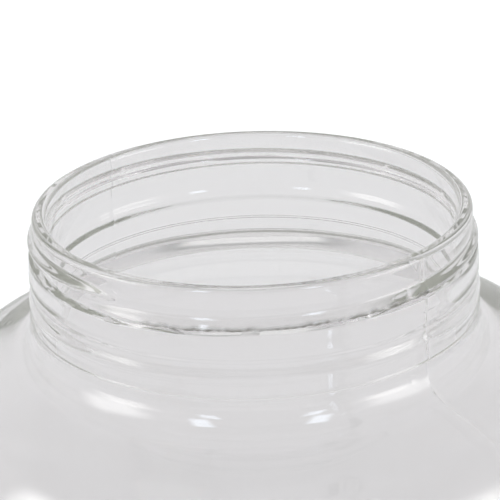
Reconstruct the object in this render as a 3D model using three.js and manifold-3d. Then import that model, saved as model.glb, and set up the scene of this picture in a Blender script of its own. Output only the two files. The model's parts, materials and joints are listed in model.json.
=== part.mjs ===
// Glass beverage dispenser: a wide-mouth jar, a spring-closed lever tap and a screw lid laid beside it.
// Millimetres, +Z up. The origin is the centre of the base, the tap points to -Y, the lid lies at +X.

import * as THREE from 'three';
import { mergeVertices } from 'three/addons/utils/BufferGeometryUtils.js';
import Module from 'manifold-3d';

const wasm = await Module();
wasm.setup();

// Jar body
const JAR_HEIGHT = 250;
const BODY_RADIUS = 86;
const WALL = 4.5;
const BASE_THICKNESS = 9;
const HEEL_FILLET = 14;
const INNER_HEEL_FILLET = 10;
const SHOULDER_FILLET = 24;
const SHOULDER_SLOPE = 0.33;

// Jar neck, from the rim down
const NECK_RADIUS = 53.6;
const NECK_WALL = 3.4;
const RIM_FILLET = 1.3;
const BEAD_TOP_DEPTH = 12.6;
const BEAD_HEIGHT = 11.8;
const BEAD_PROUD = 2.1;
const BEAD_TOP_SLOPE = 1.6;
const BEAD_TOP_FILLET = 0.8;
const BEAD_FOOT_SLOPE = 3.2;
const BEAD_FOOT_FILLET = 2.4;
const NECK_BELOW_BEAD = 8.5;
const NECK_FILLET = 5.3;
const INNER_NECK_FILLET = 3.7;

// Jar thread, a single ridge that falls clockwise seen from above
const THREAD_DEPTH = 5.3;
const THREAD_PITCH = 5.1;
const THREAD_HEIGHT = 1.4;
const THREAD_WIDTH = 4.4;
const THREAD_START = THREE.MathUtils.degToRad(7);
const THREAD_TURN = THREE.MathUtils.degToRad(386);
const THREAD_TAPER = THREE.MathUtils.degToRad(18);

// Flat pad for the tap
const TAP_HEIGHT = 46;
const PAD_MARGIN = 3;
const PAD_PROUD = 0.6;
const INNER_PAD_PROUD = 2.5;

// Seals and fasteners on the shank
const SHANK_RADIUS = 8;
const SHANK_SPARE = 4;
const GASKET_RADIUS = 16;
const GASKET_THICKNESS = 3;
const WASHER_RADIUS = 15;
const WASHER_THICKNESS = 1.5;
const NUT_WALL = 4;
const NUT_THICKNESS = 6;

// Valve pieces on the upright stem
const LIFT = 6;
const STEM_RADIUS = 3;
const STEM_ABOVE_PIN = 4.5;
const MUSHROOM_LIP = 1.6;
const MUSHROOM_THICKNESS = 1.6;
const CUP_WALL = 2.6;
const CUP_FLOOR = 1.4;
const CUP_THICKNESS = 6;
const SPRING_WASHER_LIP = 1;
const SPRING_WASHER_THICKNESS = 1;
const SPRING_RADIUS = 5.4;
const SPRING_WIRE_RADIUS = 0.55;
const SPRING_CURLS = 7;
const SPRING_END_GAP = 0.6;
const BONNET_SEAL_THICKNESS = 1.5;
const BONNET_TOP = 3;
const BONNET_WALL = 2.4;
const BONNET_SKIRT = 6;

// Tap body
const INLET_RADIUS = 4.5;
const FLANGE_MARGIN = 1;
const FLANGE_THICKNESS = 4;
const ARM_RADIUS = 9;
const ARM_LENGTH = 12;
const CHAMBER_SPACE = 1.5;
const BARREL_WALL = 3.5;
const SEAT_DROP = 9;
const SEAT_FLOOR = 4;
const SPOUT_BORE_RADIUS = 5.5;
const SPOUT_WALL = 2.2;
const SPOUT_ROOT_WALL = 3.4;
const SPOUT_LENGTH = 22;
const EDGE_FILLET = 1.2;
const LIP_FILLET = 0.6;

// Lever
const LEVER_TILT = THREE.MathUtils.degToRad(75);
const PIN_RADIUS = 1.2;
const PIN_OVERHANG = 0.6;
const PIN_HEIGHT = 6.5;
const CHEEK_THICKNESS = 3.6;
const FOOT_BACK = 4.6;
const STOP_FLAT = 2;
const CROWN_HALF_DEPTH = 6;
const CROWN_THICKNESS = 4.5;
const BAR_RADIUS = 3.2;
const BAR_LENGTH = 20;
const TANG_STEP = 0.8;
const TANG_LENGTH = 22;
const GRIP_ROOT_LIP = 1.4;
const GRIP_RADIUS = 7.2;
const GRIP_LENGTH = 40;
const GRIP_TAPER_LENGTH = 28;
const GRIP_TAPER_FILLET = 10;
const GRIP_CROWN_FILLET = 6.5;

// Lid
const LID_SHEET = 0.9;
const LID_CURL = 0.9;
const LID_CURL_FILLET = 0.45;
const LID_CORNER = 2.4;
const LID_ROLL = 0.7;
const LID_SPACING = 10;
const LINER_THICKNESS = 1.2;

// Fits: flat faces that touch, round fits, the lid on its thread and turning pieces
const FACE_GAP = 0.02;
const BORE_CLEARANCE = 0.3;
const LID_CLEARANCE = 0.6;
const CROWN_CLEARANCE = 1.5;
const SKIRT_CLEARANCE = 1;

// Fineness of the round forms
const JAR_SEGMENTS = 48;
const TAP_SEGMENTS = 24;
const PIN_SEGMENTS = 16;
const ARC_SAGITTA = 0.15;
const THREAD_ROWS = 11;
const LID_ROWS = 7;
const CAM_STEPS = 8;
const CURL_STEPS = 8;
const WIRE_SIDES = 5;
const MERGE_DISTANCE = 1e-4;
const OVERCUT = 5;

const TURN = 2 * Math.PI;

// Geometry with shared vertices, no collapsed triangles and its faces outwards.
function closed(geometry) {
  geometry.deleteAttribute('normal');
  geometry.deleteAttribute('uv');
  const merged = mergeVertices(geometry, MERGE_DISTANCE);
  const corners = merged.index.array;
  const point = (i) => new THREE.Vector3().fromBufferAttribute(merged.attributes.position, i);
  const kept = [];
  let volume = 0;
  for (let i = 0; i < corners.length; i += 3) {
    const [a, b, c] = corners.slice(i, i + 3);
    if (a === b || b === c || c === a) {
      continue;
    }
    kept.push(a, b, c);
    volume += point(a).dot(point(b).cross(point(c))) / 6;
  }
  merged.setIndex(volume < 0 ? kept.reverse() : kept);
  return merged;
}

function toSolid(geometry) {
  const vertProperties = Float32Array.from(geometry.attributes.position.array);
  const triVerts = Uint32Array.from(geometry.index.array);
  return new wasm.Manifold(new wasm.Mesh({ numProp: 3, vertProperties, triVerts }));
}

// Joins the added geometries, then takes the removed ones away.
function combine(added, removed) {
  let solid = toSolid(added[0]);
  for (const geometry of added.slice(1)) {
    solid = solid.add(toSolid(geometry));
  }
  for (const geometry of removed) {
    solid = solid.subtract(toSolid(geometry));
  }
  const mesh = solid.getMesh();
  const geometry = new THREE.BufferGeometry();
  geometry.setAttribute('position', new THREE.Float32BufferAttribute(mesh.vertProperties, 3));
  geometry.setIndex(Array.from(mesh.triVerts));
  return geometry;
}

// The outline through corners [r, z, fillet], with an arc in each corner that has a fillet.
function outline(corners) {
  const points = [];
  corners.forEach(([x, y, fillet = 0], i) => {
    const corner = new THREE.Vector2(x, y);
    if (fillet === 0) {
      points.push(corner);
      return;
    }
    const towards = ([u, v]) => new THREE.Vector2(u, v).sub(corner).normalize();
    const before = towards(corners.at(i - 1));
    const after = towards(corners[(i + 1) % corners.length]);
    const half = Math.acos(before.dot(after)) / 2;
    const bisector = before.clone().add(after).normalize();
    const centre = corner.clone().addScaledVector(bisector, fillet / Math.sin(half));
    const start = corner.clone().addScaledVector(before, fillet / Math.tan(half)).sub(centre);
    const sweep = Math.sign(after.cross(before)) * (Math.PI - 2 * half);
    const steps = Math.ceil(Math.abs(sweep) / (2 * Math.acos(1 - ARC_SAGITTA / fillet)));
    for (let step = 0; step <= steps; step += 1) {
      const spoke = start.clone().rotateAround(new THREE.Vector2(), (sweep * step) / steps);
      points.push(spoke.add(centre));
    }
  });
  return points;
}

// A piece turned about its Y axis; a profile that stays off the axis closes on itself as a ring.
function turnedAlongY(corners, segments) {
  const points = outline(corners);
  if (points[0].x > 0) {
    points.push(points[0].clone());
  }
  return closed(new THREE.LatheGeometry(points, segments));
}

// The same, standing upright.
function turned(corners, segments) {
  return turnedAlongY(corners, segments).rotateX(Math.PI / 2);
}

function rod(radius, low, high) {
  return [[0, low], [radius, low], [radius, high], [0, high]];
}

function ring(inner, outer, low, thickness) {
  return [[inner, low], [outer, low], [outer, low + thickness], [inner, low + thickness]];
}

// A round pin or hole along X.
function crossRod(radius, halfLength) {
  return turned(rod(radius, -halfLength, halfLength), PIN_SEGMENTS).rotateY(Math.PI / 2);
}

// An outline in the YZ plane carried along X, centred on it.
function plateAcrossX(points, thickness) {
  const options = { depth: thickness, bevelEnabled: false };
  const geometry = new THREE.ExtrudeGeometry(new THREE.Shape(points), options);
  const along = [new THREE.Vector3(0, 1, 0), new THREE.Vector3(0, 0, 1), new THREE.Vector3(1, 0, 0)];
  geometry.translate(0, 0, -thickness / 2);
  return closed(geometry.applyMatrix4(new THREE.Matrix4().makeBasis(...along)));
}

// Share of the thread ridge's height at an azimuth, counted from -Y towards +X, and a depth below the rim.
function ridge(azimuth, depth) {
  const first = THREE.MathUtils.euclideanModulo(THREAD_START - azimuth, TURN);
  let share = 0;
  for (const travel of [first, first + TURN]) {
    const crest = THREAD_DEPTH + (THREAD_PITCH * travel) / TURN;
    const offset = (depth - crest) / (THREAD_WIDTH / 2);
    const fade = Math.min(1, travel / THREAD_TAPER, (THREAD_TURN - travel) / THREAD_TAPER);
    if (Math.abs(offset) < 1 && fade > 0) {
      share = Math.max(share, fade * (1 - offset ** 4));
    }
  }
  return share;
}

// Moves the vertices outside a radius in or out by a function of azimuth and height.
function displaced(geometry, nearest, amount) {
  const position = geometry.attributes.position;
  for (let i = 0; i < position.count; i += 1) {
    const x = position.getX(i);
    const y = position.getY(i);
    const radius = Math.hypot(x, y);
    if (radius > nearest) {
      const factor = 1 + amount(Math.atan2(x, -y), position.getZ(i)) / radius;
      position.setXY(i, x * factor, y * factor);
    }
  }
  return geometry;
}

// Even steps along a straight wall, both ends left out.
function rows(radius, from, to, count) {
  return Array.from({ length: count - 1 }, (_, i) => [radius, from + ((to - from) * (i + 1)) / count]);
}

// Jar: body, shoulder, neck with bead and thread, flat pad and hole for the tap
const mouthRadius = NECK_RADIUS - NECK_WALL;
const padFace = BODY_RADIUS + PAD_PROUD;
const padThickness = WALL + PAD_PROUD + INNER_PAD_PROUD;

function jar() {
  const beadRadius = NECK_RADIUS + BEAD_PROUD;
  const beadTop = JAR_HEIGHT - BEAD_TOP_DEPTH;
  const beadFoot = beadTop - BEAD_HEIGHT;
  const neckFoot = beadFoot - NECK_BELOW_BEAD;
  const shoulderEdge = neckFoot - SHOULDER_SLOPE * (BODY_RADIUS - NECK_RADIUS);
  const innerRadius = BODY_RADIUS - WALL;
  const innerEdge = shoulderEdge + SHOULDER_SLOPE * WALL - WALL * Math.hypot(1, SHOULDER_SLOPE);
  const innerNeckFoot = innerEdge + SHOULDER_SLOPE * (innerRadius - mouthRadius);
  const profile = [
    [0, 0],
    [BODY_RADIUS, 0, HEEL_FILLET],
    [BODY_RADIUS, shoulderEdge, SHOULDER_FILLET],
    [NECK_RADIUS, neckFoot, NECK_FILLET],
    [NECK_RADIUS, beadFoot],
    [beadRadius, beadFoot + BEAD_FOOT_SLOPE, BEAD_FOOT_FILLET],
    [beadRadius, beadTop - BEAD_TOP_SLOPE, BEAD_TOP_FILLET],
    [NECK_RADIUS, beadTop],
    ...rows(NECK_RADIUS, beadTop, JAR_HEIGHT - RIM_FILLET, THREAD_ROWS),
    [NECK_RADIUS, JAR_HEIGHT, RIM_FILLET],
    [mouthRadius, JAR_HEIGHT, RIM_FILLET],
    [mouthRadius, innerNeckFoot, INNER_NECK_FILLET],
    [innerRadius, innerEdge, SHOULDER_FILLET - WALL],
    [innerRadius, BASE_THICKNESS, INNER_HEEL_FILLET],
    [0, BASE_THICKNESS],
  ];
  const threaded = (azimuth, z) => (z > beadTop ? THREAD_HEIGHT * ridge(azimuth, JAR_HEIGHT - z) : 0);
  const vessel = displaced(turned(profile, JAR_SEGMENTS), NECK_RADIUS - NECK_WALL / 2, threaded);
  const innerFace = padThickness - padFace;
  const pad = turnedAlongY(rod(GASKET_RADIUS + PAD_MARGIN, -padFace, innerFace), TAP_SEGMENTS);
  const holeRadius = SHANK_RADIUS + 2 * BORE_CLEARANCE;
  const hole = turnedAlongY(rod(holeRadius, -padFace - OVERCUT, innerFace + OVERCUT), TAP_SEGMENTS);
  return combine([vessel, pad.translate(0, 0, TAP_HEIGHT)], [hole.translate(0, 0, TAP_HEIGHT)]);
}

// Radii of the tap's fitted pieces
const sealRadius = SHANK_RADIUS + BORE_CLEARANCE;
const stemHoleRadius = STEM_RADIUS + BORE_CLEARANCE;
const pinHoleRadius = PIN_RADIUS + BORE_CLEARANCE;
const mushroomRadius = STEM_RADIUS + MUSHROOM_LIP;
const pocketRadius = mushroomRadius + BORE_CLEARANCE;
const cupRadius = pocketRadius + CUP_WALL;
const chamberRadius = cupRadius + CHAMBER_SPACE;
const barrelRadius = chamberRadius + BARREL_WALL;

// Places along the shank, counted from the pad's outer face, positive into the jar
const outerGasketFace = -FACE_GAP - GASKET_THICKNESS;
const flangeBack = outerGasketFace - FACE_GAP;
const flangeFront = flangeBack - FLANGE_THICKNESS;
const valveAxis = flangeFront - ARM_LENGTH - barrelRadius;
const innerGasketFace = padThickness + FACE_GAP;
const washerFace = innerGasketFace + GASKET_THICKNESS + FACE_GAP;
const nutFace = washerFace + WASHER_THICKNESS + FACE_GAP;
const shankEnd = nutFace + NUT_THICKNESS + SHANK_SPARE;

// Heights on the valve's axis, counted from the shank's axis
const skirtLow = ARM_RADIUS + SKIRT_CLEARANCE;
const barrelTop = skirtLow + BONNET_SKIRT;
const cupLow = FACE_GAP - SEAT_DROP;
const cupHigh = cupLow + CUP_THICKNESS;
const pocketLow = cupLow + CUP_FLOOR;
const springWasherLow = cupHigh + FACE_GAP;
const springLow = springWasherLow + SPRING_WASHER_THICKNESS + FACE_GAP;
const bonnetSealLow = barrelTop + FACE_GAP;
const bonnetRoof = bonnetSealLow + BONNET_SEAL_THICKNESS + FACE_GAP;
const bonnetTop = bonnetRoof + BONNET_TOP;
const pinAxis = bonnetTop + PIN_HEIGHT;

function tapBody() {
  const seat = -SEAT_DROP;
  const barrelLow = seat - SEAT_FLOOR;
  const spoutLow = seat - SPOUT_LENGTH;
  const flangeRadius = GASKET_RADIUS + FLANGE_MARGIN;
  const arm = turnedAlongY([
    [0, valveAxis],
    [ARM_RADIUS, valveAxis],
    [ARM_RADIUS, flangeFront],
    [flangeRadius, flangeFront, EDGE_FILLET],
    [flangeRadius, flangeBack],
    [SHANK_RADIUS, flangeBack],
    [SHANK_RADIUS, shankEnd],
    [0, shankEnd],
  ], TAP_SEGMENTS);
  const barrel = turned([
    [0, spoutLow],
    [SPOUT_BORE_RADIUS + SPOUT_WALL, spoutLow, LIP_FILLET],
    [SPOUT_BORE_RADIUS + SPOUT_ROOT_WALL, barrelLow],
    [barrelRadius, barrelLow, EDGE_FILLET],
    [barrelRadius, barrelTop],
    [0, barrelTop],
  ], TAP_SEGMENTS).translate(0, valveAxis, 0);
  const inlet = turnedAlongY(rod(INLET_RADIUS, valveAxis, shankEnd + OVERCUT), TAP_SEGMENTS);
  const cavity = turned([
    [0, spoutLow - OVERCUT],
    [SPOUT_BORE_RADIUS, spoutLow - OVERCUT],
    [SPOUT_BORE_RADIUS, seat],
    [chamberRadius, seat],
    [chamberRadius, barrelTop + OVERCUT],
    [0, barrelTop + OVERCUT],
  ], TAP_SEGMENTS).translate(0, valveAxis, 0);
  return combine([arm, barrel], [inlet, cavity]);
}

function shankRing(outer, face, thickness) {
  return turnedAlongY(ring(sealRadius, outer, face, thickness), TAP_SEGMENTS);
}

function shankNut() {
  const cornerRadius = (2 * (SHANK_RADIUS + NUT_WALL)) / Math.sqrt(3);
  const corners = Array.from({ length: 6 }, (_, i) => {
    const angle = (i * TURN) / 6;
    return new THREE.Vector2(cornerRadius * Math.cos(angle), cornerRadius * Math.sin(angle));
  });
  const hexagon = new THREE.Shape(corners);
  hexagon.holes.push(new THREE.Path().absarc(0, 0, sealRadius, 0, TURN, true));
  const options = { depth: NUT_THICKNESS, bevelEnabled: false, curveSegments: TAP_SEGMENTS };
  const geometry = new THREE.ExtrudeGeometry(hexagon, options);
  return closed(geometry.rotateX(-Math.PI / 2).translate(0, nutFace, 0));
}

function bonnet() {
  const skirtInner = barrelRadius + BORE_CLEARANCE;
  const skirtOuter = skirtInner + BONNET_WALL;
  return turned([
    [stemHoleRadius, bonnetRoof],
    [skirtInner, bonnetRoof],
    [skirtInner, skirtLow],
    [skirtOuter, skirtLow, LIP_FILLET],
    [skirtOuter, bonnetTop, EDGE_FILLET],
    [stemHoleRadius, bonnetTop],
  ], TAP_SEGMENTS);
}

// Seat cup: a soft plug with a pocket that holds the stem's mushroom foot.
function seatCup() {
  const pocketHigh = pocketLow + MUSHROOM_THICKNESS + 2 * BORE_CLEARANCE;
  return turned([
    [0, cupLow],
    [cupRadius, cupLow, LIP_FILLET],
    [cupRadius, cupHigh, LIP_FILLET],
    [stemHoleRadius, cupHigh],
    [stemHoleRadius, pocketHigh],
    [pocketRadius, pocketHigh],
    [pocketRadius, pocketLow],
    [0, pocketLow],
  ], TAP_SEGMENTS);
}

function valveStem() {
  const footLow = pocketLow + BORE_CLEARANCE;
  const stemTop = pinAxis + STEM_ABOVE_PIN;
  const stem = turned([
    [0, footLow],
    [mushroomRadius, footLow],
    [mushroomRadius, footLow + MUSHROOM_THICKNESS],
    [STEM_RADIUS, footLow + MUSHROOM_THICKNESS],
    [STEM_RADIUS, stemTop, LIP_FILLET],
    [0, stemTop],
  ], TAP_SEGMENTS);
  const pinHole = crossRod(pinHoleRadius, STEM_RADIUS + OVERCUT).translate(0, 0, pinAxis);
  return combine([stem], [pinHole]);
}

// Height of the spring's wire after so many curls: the first and last curl lie closer than the rest.
function wireHeight(curls) {
  const low = springLow + SPRING_WIRE_RADIUS;
  const high = bonnetRoof - FACE_GAP - SPRING_WIRE_RADIUS;
  const endPitch = 2 * SPRING_WIRE_RADIUS + SPRING_END_GAP;
  const pitch = (high - low - 2 * endPitch) / (SPRING_CURLS - 2);
  const first = Math.min(curls, 1);
  const middle = THREE.MathUtils.clamp(curls - 1, 0, SPRING_CURLS - 2);
  const last = Math.max(curls - SPRING_CURLS + 1, 0);
  return low + (first + last) * endPitch + middle * pitch;
}

// Valve spring: rings of wire points along the helix, joined step by step and capped at both ends.
function valveSpring() {
  const steps = SPRING_CURLS * CURL_STEPS;
  const centres = [];
  const positions = [];
  const triangles = [];
  for (let step = 0; step <= steps; step += 1) {
    const curls = step / CURL_STEPS;
    const outward = new THREE.Vector3(Math.cos(curls * TURN), Math.sin(curls * TURN), 0);
    const centre = outward.clone().multiplyScalar(SPRING_RADIUS).setZ(wireHeight(curls));
    centres.push(centre);
    for (let side = 0; side < WIRE_SIDES; side += 1) {
      const around = (side / WIRE_SIDES) * TURN;
      const point = centre.clone().addScaledVector(outward, SPRING_WIRE_RADIUS * Math.cos(around));
      point.z += SPRING_WIRE_RADIUS * Math.sin(around);
      positions.push(...point.toArray());
    }
  }
  for (let step = 0; step < steps; step += 1) {
    for (let side = 0; side < WIRE_SIDES; side += 1) {
      const here = step * WIRE_SIDES;
      const there = here + WIRE_SIDES;
      const beside = (side + 1) % WIRE_SIDES;
      triangles.push(here + side, there + side, there + beside);
      triangles.push(here + side, there + beside, here + beside);
    }
  }
  const end = steps * WIRE_SIDES;
  for (let side = 1; side < WIRE_SIDES - 1; side += 1) {
    triangles.push(0, side, side + 1);
    triangles.push(end, end + side + 1, end + side);
  }
  const geometry = new THREE.BufferGeometry();
  geometry.setAttribute('position', new THREE.Float32BufferAttribute(positions, 3));
  geometry.setIndex(triangles);
  console.log(`valve_spring: least gap between turns ${leastGap(centres).toFixed(2)} mm`);
  return closed(geometry);
}

// Least gap between wire points that lie more than half a curl apart along the helix.
function leastGap(centres) {
  let nearest = Infinity;
  centres.forEach((centre, i) => {
    for (const other of centres.slice(i + CURL_STEPS / 2)) {
      nearest = Math.min(nearest, centre.distanceTo(other));
    }
  });
  return nearest - 2 * SPRING_WIRE_RADIUS;
}

// Lever about its pin: two cam cheeks, the crown that joins them, and the bar with its tang
const cheekInner = STEM_RADIUS + 2 * BORE_CLEARANCE;
const leverHalfWidth = cheekInner + CHEEK_THICKNESS;
const crownLow = Math.hypot(STEM_ABOVE_PIN, STEM_RADIUS) + CROWN_CLEARANCE;
const crownTop = crownLow + CROWN_THICKNESS;
const barTop = crownTop + BAR_LENGTH;
const tangRadius = BAR_RADIUS - TANG_STEP;

// Cam point that bears on the bonnet at a tilt: always the same way ahead of the pin, so the lift is even.
function camPoint(tilt) {
  const ahead = -LIFT / LEVER_TILT;
  const down = FACE_GAP - PIN_HEIGHT + ahead * tilt;
  return new THREE.Vector2(ahead, down).rotateAround(new THREE.Vector2(), -tilt);
}

function lever() {
  const cam = Array.from({ length: CAM_STEPS + 1 }, (_, i) => camPoint((i / CAM_STEPS) * LEVER_TILT));
  const stopFlat = new THREE.Vector2(-STOP_FLAT, 0).rotateAround(new THREE.Vector2(), -LEVER_TILT);
  const side = [
    new THREE.Vector2(FOOT_BACK, cam[0].y),
    ...cam,
    cam.at(-1).clone().add(stopFlat),
    new THREE.Vector2(-CROWN_HALF_DEPTH, crownTop),
    new THREE.Vector2(CROWN_HALF_DEPTH, crownTop),
    new THREE.Vector2(CROWN_HALF_DEPTH, 0),
  ].reverse();
  const block = plateAcrossX(side, 2 * leverHalfWidth);
  const slotDepth = PIN_HEIGHT + LIFT + OVERCUT;
  const slot = new THREE.BoxGeometry(2 * cheekInner, 4 * slotDepth, slotDepth + crownLow);
  slot.translate(0, 0, (crownLow - slotDepth) / 2);
  const barLow = crownTop - CROWN_THICKNESS / 2;
  const bar = turned([
    [0, barLow],
    [BAR_RADIUS, barLow],
    [BAR_RADIUS, barTop],
    [tangRadius, barTop],
    [tangRadius, barTop + TANG_LENGTH],
    [0, barTop + TANG_LENGTH],
  ], TAP_SEGMENTS);
  const pinHole = crossRod(pinHoleRadius, leverHalfWidth + OVERCUT);
  return combine([block, bar], [closed(slot), pinHole]);
}

function leverGrip() {
  const low = barTop + FACE_GAP;
  const boreRadius = tangRadius + BORE_CLEARANCE;
  const boreTop = barTop + TANG_LENGTH + BORE_CLEARANCE;
  return turned([
    [boreRadius, low],
    [BAR_RADIUS + GRIP_ROOT_LIP, low, LIP_FILLET],
    [GRIP_RADIUS, low + GRIP_TAPER_LENGTH, GRIP_TAPER_FILLET],
    [GRIP_RADIUS, low + GRIP_LENGTH, GRIP_CROWN_FILLET],
    [0, low + GRIP_LENGTH],
    [0, boreTop],
    [boreRadius, boreTop],
  ], TAP_SEGMENTS);
}

// Lid, laid on its top panel with its hollow side up
const lidInner = NECK_RADIUS + THREAD_HEIGHT + LID_CLEARANCE;
const lidOuter = lidInner + LID_SHEET;
const linerLow = LID_SHEET + FACE_GAP;
const lidRimHeight = linerLow + LINER_THICKNESS;
const lidHeight = lidRimHeight + BEAD_TOP_DEPTH - LID_CLEARANCE;

// The skirt is rolled inwards along a helix of the jar's pitch, half a pitch below the jar's ridge.
function lidShell() {
  const curlLow = lidHeight - 2 * LID_CURL;
  const profile = [
    [0, 0],
    [lidOuter, 0, LID_CORNER],
    ...rows(lidOuter, LID_CORNER, curlLow, LID_ROWS),
    [lidOuter, curlLow],
    [lidOuter + LID_CURL, lidHeight - LID_CURL, LID_CURL_FILLET],
    [lidOuter, lidHeight],
    [lidInner, lidHeight],
    ...rows(lidInner, curlLow, LID_CORNER, LID_ROWS),
    [lidInner, LID_SHEET, LID_CORNER - LID_SHEET],
    [0, LID_SHEET],
  ];
  const rolled = (azimuth, z) => {
    const depth = z - lidRimHeight - THREAD_PITCH / 2;
    return z < curlLow ? -LID_ROLL * ridge(-azimuth, depth) : 0;
  };
  return displaced(turned(profile, JAR_SEGMENTS), NECK_RADIUS, rolled);
}

function lidLiner() {
  return turned(rod(NECK_RADIUS, linerLow, linerLow + LINER_THICKNESS), JAR_SEGMENTS);
}

// Finishes
const GLASS = { color: 0xdfe4df, roughness: 0.02, metalness: 0, transparent: true, opacity: 0.35 };
const STEEL = { color: 0xc9cccd, roughness: 0.25, metalness: 1 };
const TINPLATE = { color: 0xbfc1c2, roughness: 0.38, metalness: 1 };
const SILICONE = { color: 0xe4e3de, roughness: 0.6, metalness: 0 };
const BLACK_PLASTIC = { color: 0x1c1c1d, roughness: 0.4, metalness: 0 };

function piece(name, geometry, finish) {
  const mesh = new THREE.Mesh(geometry, new THREE.MeshStandardMaterial(finish));
  mesh.name = name;
  return mesh;
}

const dispenser = new THREE.Group();
dispenser.add(piece('jar', jar(), GLASS));

const tap = new THREE.Group();
tap.position.set(0, -padFace, TAP_HEIGHT);
tap.add(piece('tap_body', tapBody(), STEEL));
tap.add(piece('outer_gasket', shankRing(GASKET_RADIUS, outerGasketFace, GASKET_THICKNESS), SILICONE));
tap.add(piece('inner_gasket', shankRing(GASKET_RADIUS, innerGasketFace, GASKET_THICKNESS), SILICONE));
tap.add(piece('clamp_washer', shankRing(WASHER_RADIUS, washerFace, WASHER_THICKNESS), STEEL));
tap.add(piece('shank_nut', shankNut(), STEEL));
dispenser.add(tap);

const valve = new THREE.Group();
valve.position.set(0, valveAxis, 0);
const bonnetSeal = ring(chamberRadius, barrelRadius, bonnetSealLow, BONNET_SEAL_THICKNESS);
const springWasherRadius = SPRING_RADIUS + SPRING_WIRE_RADIUS + SPRING_WASHER_LIP;
const springWasher = ring(stemHoleRadius, springWasherRadius, springWasherLow, SPRING_WASHER_THICKNESS);
valve.add(piece('bonnet', bonnet(), STEEL));
valve.add(piece('bonnet_seal', turned(bonnetSeal, TAP_SEGMENTS), SILICONE));
valve.add(piece('seat_cup', seatCup(), SILICONE));
valve.add(piece('spring_washer', turned(springWasher, TAP_SEGMENTS), STEEL));
valve.add(piece('valve_spring', valveSpring(), STEEL));
valve.add(piece('valve_stem', valveStem(), STEEL));
tap.add(valve);

const handle = new THREE.Group();
handle.position.set(0, 0, pinAxis);
handle.add(piece('lever', lever(), STEEL));
handle.add(piece('lever_pin', crossRod(PIN_RADIUS, leverHalfWidth + PIN_OVERHANG), STEEL));
handle.add(piece('lever_grip', leverGrip(), BLACK_PLASTIC));
valve.add(handle);

const lid = new THREE.Group();
lid.position.set(BODY_RADIUS + LID_SPACING + lidOuter + LID_CURL, 0, 0);
lid.add(piece('lid_shell', lidShell(), TINPLATE));
lid.add(piece('lid_liner', lidLiner(), SILICONE));
dispenser.add(lid);

export default dispenser;
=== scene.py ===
"""Looks of a glass beverage dispenser: a clear wide-mouth jar, its lever tap and its screw lid.

Metres, +Z up. The jar stands on the origin, the tap points to -Y and the lid lies at +X.
Angles round the jar are counted from -Y towards +X.
"""

import json
import math

import bpy
import numpy as np
from bpy.props import FloatProperty, FloatVectorProperty, IntProperty, PointerProperty
from mathutils import Matrix, Vector


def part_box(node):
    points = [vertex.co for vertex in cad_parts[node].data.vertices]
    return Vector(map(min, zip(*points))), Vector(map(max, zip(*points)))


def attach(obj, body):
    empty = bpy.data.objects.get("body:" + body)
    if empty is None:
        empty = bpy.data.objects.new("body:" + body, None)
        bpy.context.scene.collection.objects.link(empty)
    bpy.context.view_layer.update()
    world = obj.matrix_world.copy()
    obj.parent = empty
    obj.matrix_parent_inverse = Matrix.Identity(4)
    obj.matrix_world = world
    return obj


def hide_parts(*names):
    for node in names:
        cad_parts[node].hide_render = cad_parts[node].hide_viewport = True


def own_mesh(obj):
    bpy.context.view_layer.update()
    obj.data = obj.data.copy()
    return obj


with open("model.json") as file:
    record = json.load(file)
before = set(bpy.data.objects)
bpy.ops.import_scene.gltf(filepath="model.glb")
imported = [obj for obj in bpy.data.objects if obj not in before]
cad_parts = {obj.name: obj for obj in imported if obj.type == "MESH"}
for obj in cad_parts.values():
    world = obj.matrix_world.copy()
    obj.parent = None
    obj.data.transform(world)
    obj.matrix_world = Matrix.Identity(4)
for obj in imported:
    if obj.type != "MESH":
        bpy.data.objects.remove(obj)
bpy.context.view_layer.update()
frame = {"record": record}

bl_info = {
    "name": "Glass Beverage Dispenser",
    "version": (1, 0, 0),
    "blender": (4, 5, 0),
    "location": "3D View > Sidebar > Dispenser",
    "description": "Builds the glass, metal and soft surfaces of a beverage dispenser over its frame",
    "category": "Add Mesh",
}

MM = 0.001
TURN = 2 * math.pi

# Fits shared with the frame
FACE_GAP = 0.02 * MM
BORE_CLEARANCE = 0.3 * MM

# Fineness of the surfaces
ARC_STEP = math.radians(6)
ROUND_STEPS = 96
RING_ROWS = 6
SMOOTH_ANGLE = math.radians(38)


def box(node):
    """Lowest and highest corner of a frame node, as arrays."""
    low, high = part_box(node)
    return np.array(low), np.array(high)


# Places read from the frame
JAR_HIGH = box("jar")[1]
GASKET_LOW, GASKET_HIGH = box("outer_gasket")
BONNET_LOW, BONNET_HIGH = box("bonnet")
TAP_LOW, TAP_HIGH = box("tap_body")
PIN_LOW, PIN_HIGH = box("lever_pin")
LID_LOW, LID_HIGH = box("lid_shell")
SHANK_AXIS = (GASKET_LOW + GASKET_HIGH) / 2
VALVE_AXIS = (BONNET_LOW + BONNET_HIGH) / 2
PIN_AXIS = (PIN_LOW + PIN_HIGH) / 2
LID_AXIS = (LID_LOW + LID_HIGH) / 2
BODY_OF = {node: body for body, nodes in frame["record"]["behaviour"]["bodies"].items() for node in nodes}


def length(name, description, default):
    return FloatProperty(name=name, description=description, default=default, unit="LENGTH", precision=4)


def angle(name, description, degrees):
    return FloatProperty(name=name, description=description, default=math.radians(degrees), unit="ROTATION")


def colour(name, description, default):
    return FloatVectorProperty(
        name=name, description=description, default=default, subtype="COLOR", min=0, max=1
    )


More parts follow.
